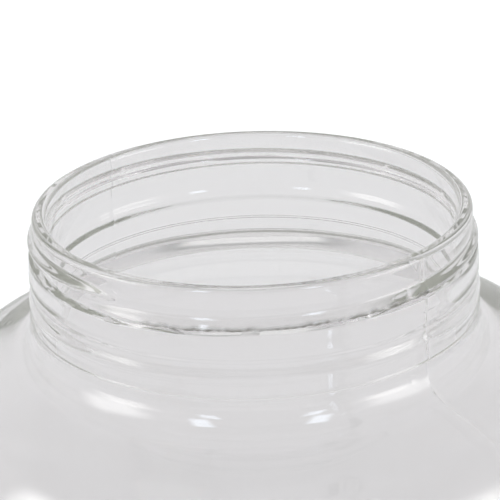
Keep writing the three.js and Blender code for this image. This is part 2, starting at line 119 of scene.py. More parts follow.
class JarSizes(bpy.types.PropertyGroup):
    """Sizes of the glass jar"""

    height: length("Height", "Height of the rim above the base", float(JAR_HIGH[2]))
    body_radius: length("Body radius", "Outer radius of the body", float(JAR_HIGH[0]))
    wall: length("Wall", "Glass thickness of the body", 4.5 * MM)
    base: length("Base", "Glass thickness of the base", 9 * MM)
    push_up: length("Push-up", "Height of the hollow under the base", 1.6 * MM)
    neck_radius: length("Neck radius", "Outer radius of the neck", 53.6 * MM)
    neck_wall: length("Neck wall", "Glass thickness of the neck", 3.4 * MM)
    thread_height: length("Thread height", "How far the thread stands out of the neck", 1.4 * MM)
    thread_width: length("Thread width", "Height of the thread's ridge along the neck", 5.6 * MM)
    thread_pitch: length("Thread pitch", "Fall of the thread in one turn", 3.8 * MM)
    thread_start: angle("Thread start", "Angle where the thread begins", 10)
    thread_turn: angle("Thread turn", "Angle that the thread goes round", 370)
    rough_edge: length("Rough edge", "Height of the torn edge under the thread", 0.3 * MM)
    seam_height: length("Seam height", "Height of the mould seam", 0.14 * MM)
    waviness: length("Waviness", "Height of the slow waves of the inner wall", 0.06 * MM)


class TapSizes(bpy.types.PropertyGroup):
    """Sizes of the tap's pieces"""

    shank_radius: length("Shank radius", "Outer radius of the threaded shank", 8 * MM)
    shank_pitch: length("Shank pitch", "Pitch of the shank's screw thread", 1.5 * MM)
    shank_thread: length("Shank thread", "Depth of the shank's screw thread", 0.45 * MM)
    barrel_radius: length("Barrel radius", "Outer radius of the valve barrel", 12.5 * MM)
    chamber_radius: length("Chamber radius", "Radius of the valve chamber", 9 * MM)
    arm_radius: length("Arm radius", "Radius of the arm between flange and barrel", 9 * MM)
    arm_flare: length("Arm flare", "How far the arm widens where it meets the barrel", 1.6 * MM)
    inlet_radius: length("Inlet radius", "Radius of the bore through the shank", 4.5 * MM)
    spout_radius: length("Spout bore", "Radius of the bore through the spout", 5.5 * MM)
    stem_radius: length("Stem radius", "Radius of the valve stem", 3 * MM)
    wire_radius: length("Wire radius", "Radius of the spring's wire", 0.55 * MM)
    spring_curls: IntProperty(name="Spring curls", description="Turns of the valve spring", default=7)
    knurls: IntProperty(name="Knurls", description="Grooves round the bonnet", default=56)
    knurl_depth: length("Knurl depth", "Depth of the bonnet's grooves", 0.4 * MM)
    lever_edge: length("Lever edge", "Rounding of the lever's edges", 0.55 * MM)


class LidSizes(bpy.types.PropertyGroup):
    """Sizes of the lid's pieces"""

    sheet: length("Sheet", "Thickness of the lid's sheet", 0.9 * MM)
    roll: length("Roll", "Depth of the rolled thread", 0.7 * MM)
    rib_spacing: length("Rib spacing", "Distance between the liner's ribs", 3.2 * MM)
    rib_height: length("Rib height", "Height of the liner's ribs", 0.25 * MM)


class Finishes(bpy.types.PropertyGroup):
    """Colours of the finishes"""

    glass: colour("Glass", "Colour of thick glass", (0.72, 0.735, 0.68))
    glass_skin: colour("Glass skin", "Faint grey that each face of the glass gives", (0.943, 0.934, 0.937))
    # Painted shade: a dark colour laid along the torn edge under the thread, standing for the dark line that
    # the glass shows there
    painted_edge_shade: colour("Rough edge", "Colour of the torn glass under the thread", (0.06, 0.055, 0.035))
    steel: colour("Steel", "Colour of the polished steel", (0.72, 0.72, 0.71))
    tinplate: colour("Tinplate", "Colour of the lid's sheet", (0.68, 0.68, 0.67))
    silicone: colour("Silicone", "Colour of the seals and the liner", (0.8, 0.79, 0.76))
    grip: colour("Grip", "Colour of the lever's grip", (0.018, 0.018, 0.019))


class StageSizes(bpy.types.PropertyGroup):
    """Sizes of the floor, the light and the view"""

    floor_radius: length("Floor radius", "Radius of the floor", 6.0)
    floor: colour("Floor", "Colour of the floor", (0.93, 0.93, 0.93))
    overhead: FloatProperty(name="Overhead", description="Strength of the soft light from above", default=1.4)
    azimuth: angle("Azimuth", "Angle of the camera round the jar", 45)
    elevation: angle("Elevation", "Angle of the camera above the rim", 21.045)
    distance: length("Distance", "Distance from the camera to the middle of the rim", 427.65 * MM)
    roll: angle("Roll", "Turn of the camera about its own line of sight", -1.938)


# Outlines and grids

def arc_outline(corners):
    """Outline through corners (r, z, fillet): a fillet is an arc that touches both sides of its corner."""
    points = []
    for i, (r, z, *fillet) in enumerate(corners):
        corner = np.array([r, z])
        if not fillet:
            points.append(corner[None])
            continue
        before = np.array(corners[i - 1][:2]) - corner
        after = np.array(corners[(i + 1) % len(corners)][:2]) - corner
        before = before / np.linalg.norm(before)
        after = after / np.linalg.norm(after)
        half = math.acos(np.clip(before @ after, -1, 1)) / 2
        bisector = (before + after) / np.linalg.norm(before + after)
        centre = corner + bisector * fillet[0] / math.sin(half)
        spoke = corner + before * fillet[0] / math.tan(half) - centre
        sweep = math.copysign(math.pi - 2 * half, after[0] * before[1] - after[1] * before[0])
        turn = np.linspace(0, sweep, 1 + math.ceil(abs(sweep) / ARC_STEP))
        across = np.array([-spoke[1], spoke[0]])
        points.append(centre + np.cos(turn)[:, None] * spoke + np.sin(turn)[:, None] * across)
    return np.vstack(points)


def spaced(points, longest):
    """The same outline with each side cut into equal parts no longer than a given length."""
    parts = np.ceil(np.linalg.norm(np.diff(points, axis=0), axis=1) / longest).astype(int)
    parts = np.maximum(parts, 1)
    side = np.repeat(np.arange(len(parts)), parts)
    share = (np.arange(parts.sum()) - np.repeat(np.cumsum(parts) - parts, parts)) / parts[side]
    cut = points[side] + share[:, None] * (points[side + 1] - points[side])
    return np.vstack([cut, points[-1:]])


def round_angles(steps):
    return np.arange(steps) * TURN / steps


def turned_grid(outline, angles):
    """Outline points (r, z) carried round Z: x = r sin a, y = -r cos a."""
    r = outline[:, :1]
    z = np.broadcast_to(outline[:, 1:], (len(outline), len(angles)))
    return np.stack([r * np.sin(angles), -r * np.cos(angles), z], axis=-1)


def along(axis, grid, centre):
    """Turns a grid about Z to another axis through a centre; places along the axis stay as they are."""
    x, y, z = np.moveaxis(grid, -1, 0)
    if axis == "X":
        return np.stack([z, centre[1] + x, centre[2] + y], axis=-1)
    if axis == "Y":
        return np.stack([centre[0] + x, z, centre[2] - y], axis=-1)
    return np.stack([centre[0] + x, centre[1] + y, z], axis=-1)


def grid_ids(grid):
    """Vertex numbers of a grid's points, in the grid's own rows and columns."""
    return np.arange(grid[..., 0].size).reshape(grid.shape[:2])


def grid_quads(ids):
    """Four corners for each cell of a grid of vertex numbers."""
    return np.stack([ids[:-1, :-1], ids[:-1, 1:], ids[1:, 1:], ids[1:, :-1]], axis=-1).reshape(-1, 4)


def round_quads(ids, ring):
    """Cells of a grid whose columns go round; its rows close as a ring or end in two poles."""
    ids = ids.copy()
    if ring:
        ids = np.vstack([ids, ids[:1]])
    else:
        ids[0] = ids[0, 0]
        ids[-1] = ids[-1, 0]
    return grid_quads(np.hstack([ids, ids[:, :1]]))


# Objects

def mesh_object(name, points, quads, attributes=None):
    """Object of a closed mesh, faces outwards; a quad with two corners in one vertex becomes a triangle."""
    used, faces = np.unique(quads, return_inverse=True)
    faces = faces.reshape(-1, 4)
    points = points[used]
    a, b, c, d = np.moveaxis(points[faces], 1, 0)
    volume = np.sum(a * np.cross(b, c)) + np.sum(a * np.cross(c, d))
    if volume < 0:
        faces = faces[:, ::-1]
    double = faces == np.roll(faces, -1, axis=1)
    flat = double.any(axis=1)
    triangles = faces[flat][~double[flat]].reshape(-1, 3)
    mesh = bpy.data.meshes.new(name)
    mesh.from_pydata(points.tolist(), [], faces[~flat].tolist() + triangles.tolist())
    mesh.shade_smooth()
    mesh.set_sharp_from_angle(angle=SMOOTH_ANGLE)
    for key, values in (attributes or {}).items():
        layer = mesh.attributes.new(key, "FLOAT", "POINT")
        layer.data.foreach_set("value", values[used].astype(np.float32))
    return linked(bpy.data.objects.new(name, mesh))


def round_object(name, grid, ring):
    """Closed piece of a grid whose columns go round."""
    return mesh_object(name, grid.reshape(-1, 3), round_quads(grid_ids(grid), ring))


def linked(thing):
    bpy.context.scene.collection.objects.link(thing)
    return thing


def turned(name, outline, axis="Z", centre=(0, 0, 0), ring=True, steps=ROUND_STEPS, shape=None):
    """Piece turned from an outline of radius and place along the axis; shape(angles, r, z) changes radii."""
    angles = round_angles(steps)
    grid = turned_grid(outline, angles)
    if shape is not None:
        r = shape(angles[None], outline[:, :1], outline[:, 1:])
        grid[..., 0] = r * np.sin(angles)
        grid[..., 1] = -r * np.cos(angles)
    return round_object(name, along(axis, grid, centre), ring)


def ring_outline(inner, outer, low, high, fillet, bulge=0.0):
    """Rounded section of a ring; its outer side swells by bulge (1 - h^2), h from -1 to 1 up the side."""
    corners = [(inner, low, fillet), (outer, low, fillet), (outer, high, fillet), (inner, high, fillet)]
    points = arc_outline(corners)
    points = spaced(np.vstack([points, points[:1]]), (high - low) / RING_ROWS)[:-1]
    share = (points[:, 0] - inner) / (outer - inner)
    height = (2 * points[:, 1] - low - high) / (high - low)
    points[:, 0] += bulge * share**4 * (1 - height**2)
    return points


def carved(piece, joined=(), removed=()):
    """Joins closed pieces to one, takes others away and keeps the result as one mesh."""
    for operation, others in (("UNION", joined), ("DIFFERENCE", removed)):
        for other in others:
            step = piece.modifiers.new(operation, "BOOLEAN")
            step.operation = operation
            step.solver = "EXACT"
            step.object = other
    bpy.context.view_layer.update()
    made = piece.evaluated_get(bpy.context.evaluated_depsgraph_get())
    mesh = bpy.data.meshes.new_from_object(made)
    piece.modifiers.clear()
    piece.data = mesh
    mesh.shade_smooth()
    mesh.set_sharp_from_angle(angle=SMOOTH_ANGLE)
    flats = piece.modifiers.new("flats", "WEIGHTED_NORMAL")
    flats.keep_sharp = True
    for other in (*joined, *removed):
        bpy.data.objects.remove(other)
    return piece


def settle(piece, node, coat):
    """Puts a piece in the place of a frame node, on the node's body, with a finish."""
    piece.data.materials.clear()
    piece.data.materials.append(finish(coat))
    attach(piece, BODY_OF[node])
    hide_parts(node)


def soft_step(value, low, high):
    """0 below low, 1 above high, smooth between."""
    share = np.clip((value - low) / (high - low), 0, 1)
    return share * share * (3 - 2 * share)


# Finishes

class Nodes:
    """A node tree under way, with short ways to add to it."""

    def __init__(self, tree):
        self.nodes = tree.nodes
        self.links = tree.links

    def node(self, kind, **settings):
        made = self.nodes.new(kind)
        for key, value in settings.items():
            setattr(made, key, value)
        return made

    def join(self, source, target):
        self.links.new(source, target)

    def worked_out(self, kind, operation, values):
        """Outputs of a math node; each value is a constant or another node's output."""
        made = self.node(kind, operation=operation)
        for socket, value in zip(made.inputs, values):
            if isinstance(value, bpy.types.NodeSocket):
                self.join(value, socket)
            else:
                socket.default_value = value
        return made.outputs

    def number(self, operation, *values):
        return self.worked_out("ShaderNodeMath", operation, values)["Value"]

    def vector(self, operation, *values):
        return self.worked_out("ShaderNodeVectorMath", operation, values)["Vector"]

    def measure(self, operation, *vectors):
        return self.worked_out("ShaderNodeVectorMath", operation, vectors)["Value"]

    def spread(self, source, low, high, start=0.3, end=0.7, kind="LINEAR"):
        """A value from start to end spread over low to high."""
        ranged = self.node("ShaderNodeMapRange", interpolation_type=kind)
        for key, value in (("From Min", start), ("From Max", end), ("To Min", low), ("To Max", high)):
            ranged.inputs[key].default_value = value
        self.join(source, ranged.inputs["Value"])
        return ranged.outputs["Result"]

    def tint(self, source, first, second):
        """Mixes two colours by a value."""
        mix = self.node("ShaderNodeMix", data_type="RGBA")
        mix.inputs["A"].default_value = first
        mix.inputs["B"].default_value = second
        self.join(source, mix.inputs["Factor"])
        return mix.outputs["Result"]


class Finish(Nodes):
    """A material under way, with its main shader."""

    def __init__(self, name):
        self.material = bpy.data.materials.new(name)
        self.material.use_nodes = True
        super().__init__(self.material.node_tree)
        self.shader = self.nodes["Principled BSDF"]
        self.output = self.nodes["Material Output"]

    def set(self, **values):
        """Sets the main shader's sockets, named with _ for a space, or joins a node's output to them."""
        for key, value in values.items():
            socket = self.shader.inputs[key.replace("_", " ")]
            if isinstance(value, bpy.types.NodeSocket):
                self.join(value, socket)
            else:
                socket.default_value = value

    def noise(self, scale, detail=4.0, stretch=(1, 1, 1)):
        """Noise on Object coordinates; scale is in waves a metre, stretch multiplies it along each axis."""
        place = self.node("ShaderNodeTexCoord")
        mapping = self.node("ShaderNodeMapping")
        mapping.inputs["Scale"].default_value = stretch
        texture = self.node("ShaderNodeTexNoise")
        texture.inputs["Scale"].default_value = scale
        texture.inputs["Detail"].default_value = detail
        self.join(place.outputs["Object"], mapping.inputs["Vector"])
        self.join(mapping.outputs["Vector"], texture.inputs["Vector"])
        return texture.outputs["Fac"]

    def bump(self, source, distance, strength=1.0):
        bump = self.node("ShaderNodeBump")
        bump.inputs["Distance"].default_value = distance
        bump.inputs["Strength"].default_value = strength
        self.join(source, bump.inputs["Height"])
        self.join(bump.outputs["Normal"], self.shader.inputs["Normal"])


def shade(rgb, factor=1.0):
    return (*(min(1.0, c * factor) for c in rgb), 1.0)


def clear_glass(finishes):
    """Pressed clear glass: faint smears, greenish where thick, torn and dull along the rough edge, and
    darkened there by a painted shade.
    """
    glass = Finish("clear_glass")
    smear = glass.spread(glass.noise(*SMEARS), *SMEAR_RANGE)
    # The rough_edge mask roughens the glass and mixes in the painted dark shade of the torn edge
    torn = glass.node("ShaderNodeAttribute", attribute_name="rough_edge").outputs["Fac"]
    glass.set(
        Transmission_Weight=1.0,
        IOR=GLASS_IOR,
        Roughness=glass.number("MULTIPLY_ADD", torn, TORN_ROUGHNESS, smear),
        # Painted shade: the colour goes from the glass skin to the dark edge colour along the torn edge
        Base_Color=glass.tint(torn, shade(finishes.glass_skin), shade(finishes.painted_edge_shade)),
    )
    depth = glass.node("ShaderNodeVolumeAbsorption")
    depth.inputs["Color"].default_value = shade(finishes.glass)
    depth.inputs["Density"].default_value = GLASS_DENSITY
    glass.join(depth.outputs["Volume"], glass.output.inputs["Volume"])
    clear = glass.node("ShaderNodeBsdfTransparent")
    clear.inputs["Color"].default_value = GLASS_SHADOW
    mix = glass.node("ShaderNodeMixShader")
    glass.join(glass.node("ShaderNodeLightPath").outputs["Is Shadow Ray"], mix.inputs["Fac"])
    glass.join(glass.shader.outputs["BSDF"], mix.inputs[1])
    glass.join(clear.outputs["BSDF"], mix.inputs[2])
    glass.join(mix.outputs["Shader"], glass.output.inputs["Surface"])
    return glass.material


def worn_skin(name, rgb, marks, tints, roughness, grain=None, **sockets):
    """Finish whose colour and roughness follow one noise; a second noise gives its grain or lines.

    marks: waves a metre and detail. tints, roughness: what the marks are spread over.
    grain: waves a metre, detail, stretch, height and strength of the bump.
    """
    skin = Finish(name)
    worn = skin.noise(*marks)
    skin.set(
        Base_Color=skin.tint(worn, *(shade(rgb, factor) for factor in tints)),
        Roughness=skin.spread(worn, *roughness),
        **sockets,
    )
    if grain:
        *lines, height, strength = grain
        skin.bump(skin.noise(*lines), height, strength)
    return skin.material


# Clear glass: its smears (waves a metre and detail, then their spread), torn roughness, absorption and shadow
GLASS_IOR = 1.51
SMEARS = (34, 5)
SMEAR_RANGE = (0.0, 0.012, 0.45, 0.7)
TORN_ROUGHNESS = 0.5
GLASS_DENSITY = 4.0
GLASS_SHADOW = (0.93, 0.94, 0.935, 1)

EVEN = (1, 1, 1)
SKINS = {
    # Fine turning lines and faint handling marks
    "polished_steel": dict(
        tone="steel", marks=(160, 6), tints=(0.9, 1.06), roughness=(0.1, 0.24),
        grain=(60, 3, (1, 1, 60), 0.02 * MM, 0.25), Metallic=1.0,
    ),
    # Long soft rolling lines and a duller, blotchy skin
    "rolled_tinplate": dict(
        tone="tinplate", marks=(70, 6), tints=(0.9, 1.05), roughness=(0.24, 0.4),
        grain=(40, 4, (1, 45, 1), 0.01 * MM, 0.12), Metallic=1.0,
    ),
    # Drawn wire with a slightly darker, streaked skin
    "spring_wire": dict(tone="steel", marks=(420, 4), tints=(0.7, 0.95), roughness=(0.2, 0.38), Metallic=1.0),
    # Soft light inside, dull skin with a fine grain
    "milky_silicone": dict(
        tone="silicone", marks=(110, 5), tints=(0.93, 1.04), roughness=(0.42, 0.6),
        grain=(2400, 2, EVEN, 0.03 * MM, 0.4),
        Subsurface_Weight=0.25, Subsurface_Scale=2 * MM, Specular_IOR_Level=0.4,
    ),
    # Moulded plastic with a fine grain and rubbed, shinier patches
    "black_grip": dict(
        tone="grip", marks=(90, 5), tints=(0.8, 1.6), roughness=(0.26, 0.46),
        grain=(1800, 3, EVEN, 0.03 * MM, 0.5),
    ),
}


def finish(name):
    """The finish of that name, made when it is first asked for."""
    found = bpy.data.materials.get(name)
    if found:
        return found
    finishes = bpy.context.scene.dispenser_finishes
    if name == "clear_glass":
        return clear_glass(finishes)
    skin = dict(SKINS[name])
    return worn_skin(name, getattr(finishes, skin.pop("tone")), **skin)


# Glass jar: where its outline turns, in the frame's sizes
HEEL_FILLET = 14 * MM
INNER_HEEL_FILLET = 10 * MM
BEARING_RADIUS = 66 * MM
BEARING_WIDTH = 9 * MM
BEARING_FILLET = 4 * MM
PUSH_UP_FILLET = 12 * MM
SHOULDER_FILLET = 24 * MM
SHOULDER_SLOPE = 0.33
RIM_FILLET = 1.3 * MM
BEAD_TOP_DEPTH = 12.6 * MM
BEAD_HEIGHT = 11.8 * MM
BEAD_PROUD = 2.1 * MM
BEAD_LIP = 1.2 * MM
BEAD_NECK = 1.5 * MM
BEAD_NOTCH = 0.15 * MM
PARTING_PROUD = 0.16 * MM
BEAD_EDGE = 0.7 * MM
BEAD_EDGE_DEPTH = (9.1 * MM, 10.1 * MM)
BEAD_EDGE_BLEND = math.radians(40)
THREAD_FOOT = 12 * MM

# Double bead: depth below the rim and height out of the neck, in millimetres
BEAD_FORM = ((9.5, 1.4), (15.4, 1.75), (18.0, 1.25), (20.9, 2.1))
NECK_BELOW_BEAD = 8.5 * MM
NECK_FILLET = 9.0 * MM
INNER_NECK_FILLET = 7.5 * MM
NECK_THINNING = 2.7 * MM
THREAD_DEPTH = 5.6 * MM
THREAD_LIP = 0.7 * MM
THREAD_TAPER = math.radians(18)

# Torn edge, raised and darkened with painted shade: where it starts and ends along the thread, its random
# breaks, its place and its width
TORN_START = (math.radians(262), math.radians(285))
TORN_END = (math.radians(345), math.radians(362))
TORN_SEED = 11
TORN_LEAST = 0.5
TORN_SPREAD = 0.9
TORN_BREAK = 0.3
TORN_UNBROKEN = 0.8
TORN_RAISE = 0.1 * MM
TORN_WANDER = 0.4 * MM
TORN_WIDTH = 0.5 * MM

# Mould seam, its heights as shares of the ridge; it stands out more on the shoulder
SEAM_WIDTH = 0.55 * MM
SEAM_STEP = 0.4
SEAM_STEP_RUN = 7 * MM
SEAM_FACET = 2.0
SEAM_FACET_RUN = (1.5 * MM, 3.6 * MM)
SEAM_FACET_TOP = (BEAD_TOP_DEPTH, BEAD_TOP_DEPTH + MM)
SEAM_FACET_FOOT = (BEAD_TOP_DEPTH + BEAD_HEIGHT - 3 * MM, BEAD_TOP_DEPTH + BEAD_HEIGHT)
FAR_SEAM = 0.35
SHOULDER_START = (4 * MM, 10 * MM)
SHOULDER_END = (52 * MM, 62 * MM)

# Pad and hole for the tap, on a patch of even cells
PAD_RADIUS = 18.4 * MM
PAD_FILLET = 4.6 * MM
INNER_PAD_PROUD = 2.5 * MM
HOLE_RADIUS = 8.6 * MM
HOLE_CELLS = 7
PATCH_CELLS = 20
CELL = HOLE_RADIUS / HOLE_CELLS

# Spacing of the jar's rows and columns
BODY_ROW = 4 * MM
INNER_ROW = BODY_ROW * 0.75
NECK_ROW = 1.1 * MM
SHOULDER_ROW = NECK_ROW * 1.6
BEAD_ROW = NECK_ROW / 3
THREAD_ROW = 0.29 * MM
COLUMN = 4.4 * MM
SEAM_LINES = np.array([-2.4, -1.2, -0.6, -0.3, 0, 0.3, 0.6, 1.2, 2.4]) * MM

# Slow waves: their share on the outside, where they start on the base, and where they calm down
OUTER_WAVES = 0.25
WAVE_START = (30 * MM, 50 * MM)
CALM_FOOT = (2 * MM, HEEL_FILLET)
CALM_RIM = (-6 * MM, -2 * MM)
RIM_CALM = 0.7

# Each wave of the pressed glass: times round, waves a metre up, phase, share of the height
WAVES = ((2, 9, 0.4, 0.8), (3, -14, 2.1, 0.6), (5, 21, 1.2, 0.5), (9, -33, 4.0, 0.3), (14, 47, 5.2, 0.2))


def bead_form(depth):
    """Height of the double bead out of the neck: soft steps from mark to mark."""
    marks = MM * np.array(BEAD_FORM)
    pairs = zip(marks[:-1], marks[1:])
    return marks[0, 1] + sum((high - low) * soft_step(depth, top, foot) for (top, low), (foot, high) in pairs)


def jar_outlines(jar):
    """Outline of the jar in three runs: base to bead, thread and rim, mouth to inner base."""
    tap = SHANK_AXIS[2]
    patch = tap + CELL * np.arange(-PATCH_CELLS, PATCH_CELLS + 1)
    radius, inner = jar.body_radius, jar.body_radius - jar.wall
    neck, mouth = jar.neck_radius, jar.neck_radius - jar.neck_wall
    bead_top = jar.height - BEAD_TOP_DEPTH
    bead_foot = bead_top - BEAD_HEIGHT
    neck_foot = bead_foot - NECK_BELOW_BEAD
    edge = neck_foot - SHOULDER_SLOPE * (radius - neck)
    inner_edge = edge + SHOULDER_SLOPE * jar.wall - jar.wall * math.hypot(1, SHOULDER_SLOPE)
    inner_foot = inner_edge + SHOULDER_SLOPE * (inner - mouth) + NECK_THINNING
    bead = neck + BEAD_PROUD
    bead_low = bead_foot - BEAD_LIP
    lower = arc_outline([
        (0, jar.push_up),
        (BEARING_RADIUS - BEARING_WIDTH, jar.push_up, PUSH_UP_FILLET),
        (BEARING_RADIUS, 0, BEARING_FILLET),
        (radius, 0, HEEL_FILLET),
        (radius, patch[0]),
    ])
    upper = arc_outline([
        (radius, patch[-1]),
        (radius, edge, SHOULDER_FILLET),
        (neck + BEAD_NECK / 2, neck_foot, NECK_FILLET),
        (neck + BEAD_NECK, bead_low, BEAD_NOTCH),
        (bead + PARTING_PROUD, bead_low, PARTING_PROUD),
        (bead + PARTING_PROUD, bead_low + 2 * PARTING_PROUD, PARTING_PROUD),
        (bead, bead_low + 4 * PARTING_PROUD, 2 * PARTING_PROUD),
        (bead, bead_low + NECK_ROW),
    ])
    ridge = np.arange(jar.height - upper[-1, 1] - BEAD_ROW, THREAD_FOOT, -BEAD_ROW)
    ridges = np.stack([neck + bead_form(ridge), jar.height - ridge], axis=1)
    threaded = arc_outline([
        (neck, jar.height - THREAD_FOOT + THREAD_ROW),
        (neck, jar.height, RIM_FILLET),
        (mouth, jar.height, RIM_FILLET),
        (mouth, jar.height - RIM_FILLET - THREAD_ROW),
    ])
    inside = arc_outline([
        (mouth, jar.height - RIM_FILLET - NECK_ROW),
        (mouth, inner_foot, INNER_NECK_FILLET),
        (inner, inner_edge, SHOULDER_FILLET - jar.wall),
        (inner, patch[-1]),
    ])
    floor = arc_outline([
        (inner, patch[0]),
        (inner, jar.base, INNER_HEEL_FILLET),
        (0, jar.base),
    ])
    wall_rows = np.stack([np.full(len(patch), radius), patch], axis=1)[1:-1]
    inner_rows = np.stack([np.full(len(patch), inner), patch], axis=1)[-2:0:-1]
    upper = spaced(upper, BODY_ROW)
    high = upper[:, 1] > edge
    upper = np.vstack([upper[~high], spaced(upper[high], SHOULDER_ROW), ridges])
    outside = np.vstack([spaced(lower, BODY_ROW), wall_rows, upper])
    inside = np.vstack([spaced(inside, INNER_ROW), inner_rows, spaced(floor, BODY_ROW)])
    return outside, spaced(threaded, THREAD_ROW), inside


def jar_angles(jar):
    """Angles of the jar's columns: even cells at the tap, close lines at the seams, even steps between."""
    step = COLUMN / jar.body_radius
    tap = CELL / jar.body_radius * np.arange(-PATCH_CELLS, PATCH_CELLS + 1)
    seam = SEAM_LINES / jar.body_radius
    blocks = [tap, seam + TURN / 4, seam + 3 * TURN / 4, tap[:1] + TURN]
    lines = []
    for block, following in zip(blocks[:-1], blocks[1:]):
        count = math.ceil((following[0] - block[-1]) / step)
        lines += [block, np.linspace(block[-1], following[0], count, endpoint=False)[1:]]
    return np.concatenate(lines)


def normals_of(outline):
    """Unit normals of an outline, to the right of its run."""
    tangent = np.gradient(outline, axis=0)
    tangent /= np.linalg.norm(tangent, axis=1, keepdims=True)
    return np.stack([tangent[:, 1], -tangent[:, 0]], axis=1)


def waves(angles, z):
    """Sum of slow waves round and up the wall."""
    return sum(
        share * np.cos(times * angles + TURN * rise * z + phase) for times, rise, phase, share in WAVES
    )


def seam_relief(jar, angles, r, z):
    """Mould seam at +X and -X: a thin ridge on a low step between the halves, cut flat on the bead."""
    away = np.abs((angles + TURN / 4) % (TURN / 2) - TURN / 4)
    side = np.sign((angles + TURN / 4) % (TURN / 2) - TURN / 4)
    across = r * (TURN / 4 - away)
    ridge = np.exp(-((across / SEAM_WIDTH) ** 2))
    step = SEAM_STEP * side * np.exp(-across / SEAM_STEP_RUN)
    run = soft_step(z, HEEL_FILLET, 2 * HEEL_FILLET)
    depth = jar.height - z
    on_bead = soft_step(depth, *SEAM_FACET_TOP) * (1 - soft_step(depth, *SEAM_FACET_FOOT))
    facet = SEAM_FACET * on_bead * (1 - soft_step(across, *SEAM_FACET_RUN))
    strength = np.where(np.sin(angles) > 0, 1.0, FAR_SEAM)
    on_shoulder = soft_step(r - jar.neck_radius, *SHOULDER_START) * (1 - soft_step(depth, *SHOULDER_END))
    return jar.seam_height * strength * run * (ridge * (1 + on_shoulder) + step - facet)


def thread_turns(jar, angles):
    """For the thread's first and second turn: depth of its crest, and a fade that tapers both ends."""
    first = (jar.thread_start - angles) % TURN
    for travel in (first, first + TURN):
        grow = np.clip(np.minimum(travel, jar.thread_turn - travel) / THREAD_TAPER, 0, 1)
        yield THREAD_DEPTH + jar.thread_pitch * travel / TURN, grow * (2 - grow)


def thread_share(jar, angles, depth, lip):
    """Thread ridge from 0 to 1: fade (1 - offset^2)^2 above the crest, fade (1 - offset^3) on its lower lip.

    The ends are leaf-shaped: the offset is counted in widths that shrink with the root of the fade.
    """
    height = np.zeros(np.broadcast(angles, depth).shape)
    for crest, fade in thread_turns(jar, angles):
        offset = (depth - crest) / np.where(depth < crest, jar.thread_width / 2, lip)
        leaf = np.clip(np.abs(offset) / np.sqrt(np.maximum(fade, 1e-6)), 0, 1)
        height = np.maximum(height, fade * np.where(depth < crest, (1 - leaf**2) ** 2, 1 - leaf**3))
    return height


def bead_edge(jar, angles, depth):
    """Upper edge of the bead from 0 to 1: it keeps close to the thread's lip, then rises to its start."""
    travel = (jar.thread_start - angles) % TURN
    high, low = BEAD_EDGE_DEPTH
    along_thread = np.clip(THREAD_DEPTH + THREAD_LIP + jar.thread_pitch * travel / TURN, high, low)
    past_end = low - (low - high) * soft_step(travel, 0, BEAD_EDGE_BLEND)
    top = np.maximum(along_thread, past_end)
    return soft_step(depth, top - BEAD_EDGE / 4, top + BEAD_EDGE)


def torn_and_shaded_edge(jar, angles, depth):
    """Torn edge from 0 to 1 along the thread's lip where it runs close to the bead, broken at random; it
    raises the lip, and in the glass it carries a painted dark shade.
    """
    draw = np.random.default_rng(TORN_SEED).random((3, angles.size))
    torn = np.clip(TORN_LEAST + draw[0] * TORN_SPREAD - TORN_BREAK * (draw[1] > TORN_UNBROKEN), 0, 1)
    edge = np.zeros(np.broadcast(angles, depth).shape)
    for crest, fade in thread_turns(jar, angles):
        fall = (crest - THREAD_DEPTH) / jar.thread_pitch * TURN
        close = torn * soft_step(fall, *TORN_START) * (1 - soft_step(fall, *TORN_END))
        lip = (depth - crest + TORN_RAISE - (draw[2] - 0.5) * TORN_WANDER) / TORN_WIDTH
        edge = np.maximum(edge, close * np.exp(-(lip**2)))
    return edge


def tapped(grid, row_of_tap, radius, face):
    """Draws the even cells round the tap's hole into circles, and lays the wall flat there as a pad.

    Cell rings at a distance m from the middle become circles of radius m cells, fading to squares outside.
    """
    cells = np.arange(-PATCH_CELLS, PATCH_CELLS + 1)
    rows = row_of_tap + cells
    column, row = np.meshgrid(cells, cells)
    ring = np.maximum(np.abs(column), np.abs(row))
    spread = np.where(ring == 0, 1, np.hypot(column, row))
    keep = 1 - soft_step(ring, HOLE_CELLS + 2, PATCH_CELLS)
    patch = grid[rows][:, cells]
    tap = SHANK_AXIS[2]
    up = np.sign(patch[-1, 0, 2] - patch[0, 0, 2])
    x = patch[..., 0] + keep * (ring * CELL * column / spread - patch[..., 0])
    z = patch[..., 2] + keep * (tap + up * ring * CELL * row / spread - patch[..., 2])
    flat = 1 - soft_step(np.hypot(x, z - tap), PAD_RADIUS, PAD_RADIUS + PAD_FILLET)
    y = -np.sqrt(radius**2 - x**2)
    grid[np.ix_(rows, cells)] = np.stack([x, y + flat * (face - y), z], axis=-1)


def hole_ring(ids, row_of_tap, up):
    """Vertex numbers round the hole, once round from the lower left, with rows counted upwards."""
    side = np.arange(-HOLE_CELLS, HOLE_CELLS)
    end = np.full(len(side), HOLE_CELLS)
    column = np.concatenate([side, end, -side, -end])
    row = np.concatenate([-end, side, end, -side])
    return ids[row_of_tap + up * row, column]


def fan(coarse, fine):
    """Triangles between a row of columns and a row with three times as many."""
    this, that = coarse, np.roll(coarse, -1)
    first, second, third, last = fine[0::3], fine[1::3], fine[2::3], np.roll(fine[0::3], -1)
    return np.concatenate([
        np.stack([this, this, second, first], axis=1),
        np.stack([this, this, third, second], axis=1),
        np.stack([this, that, third, third], axis=1),
        np.stack([that, that, last, third], axis=1),
    ])


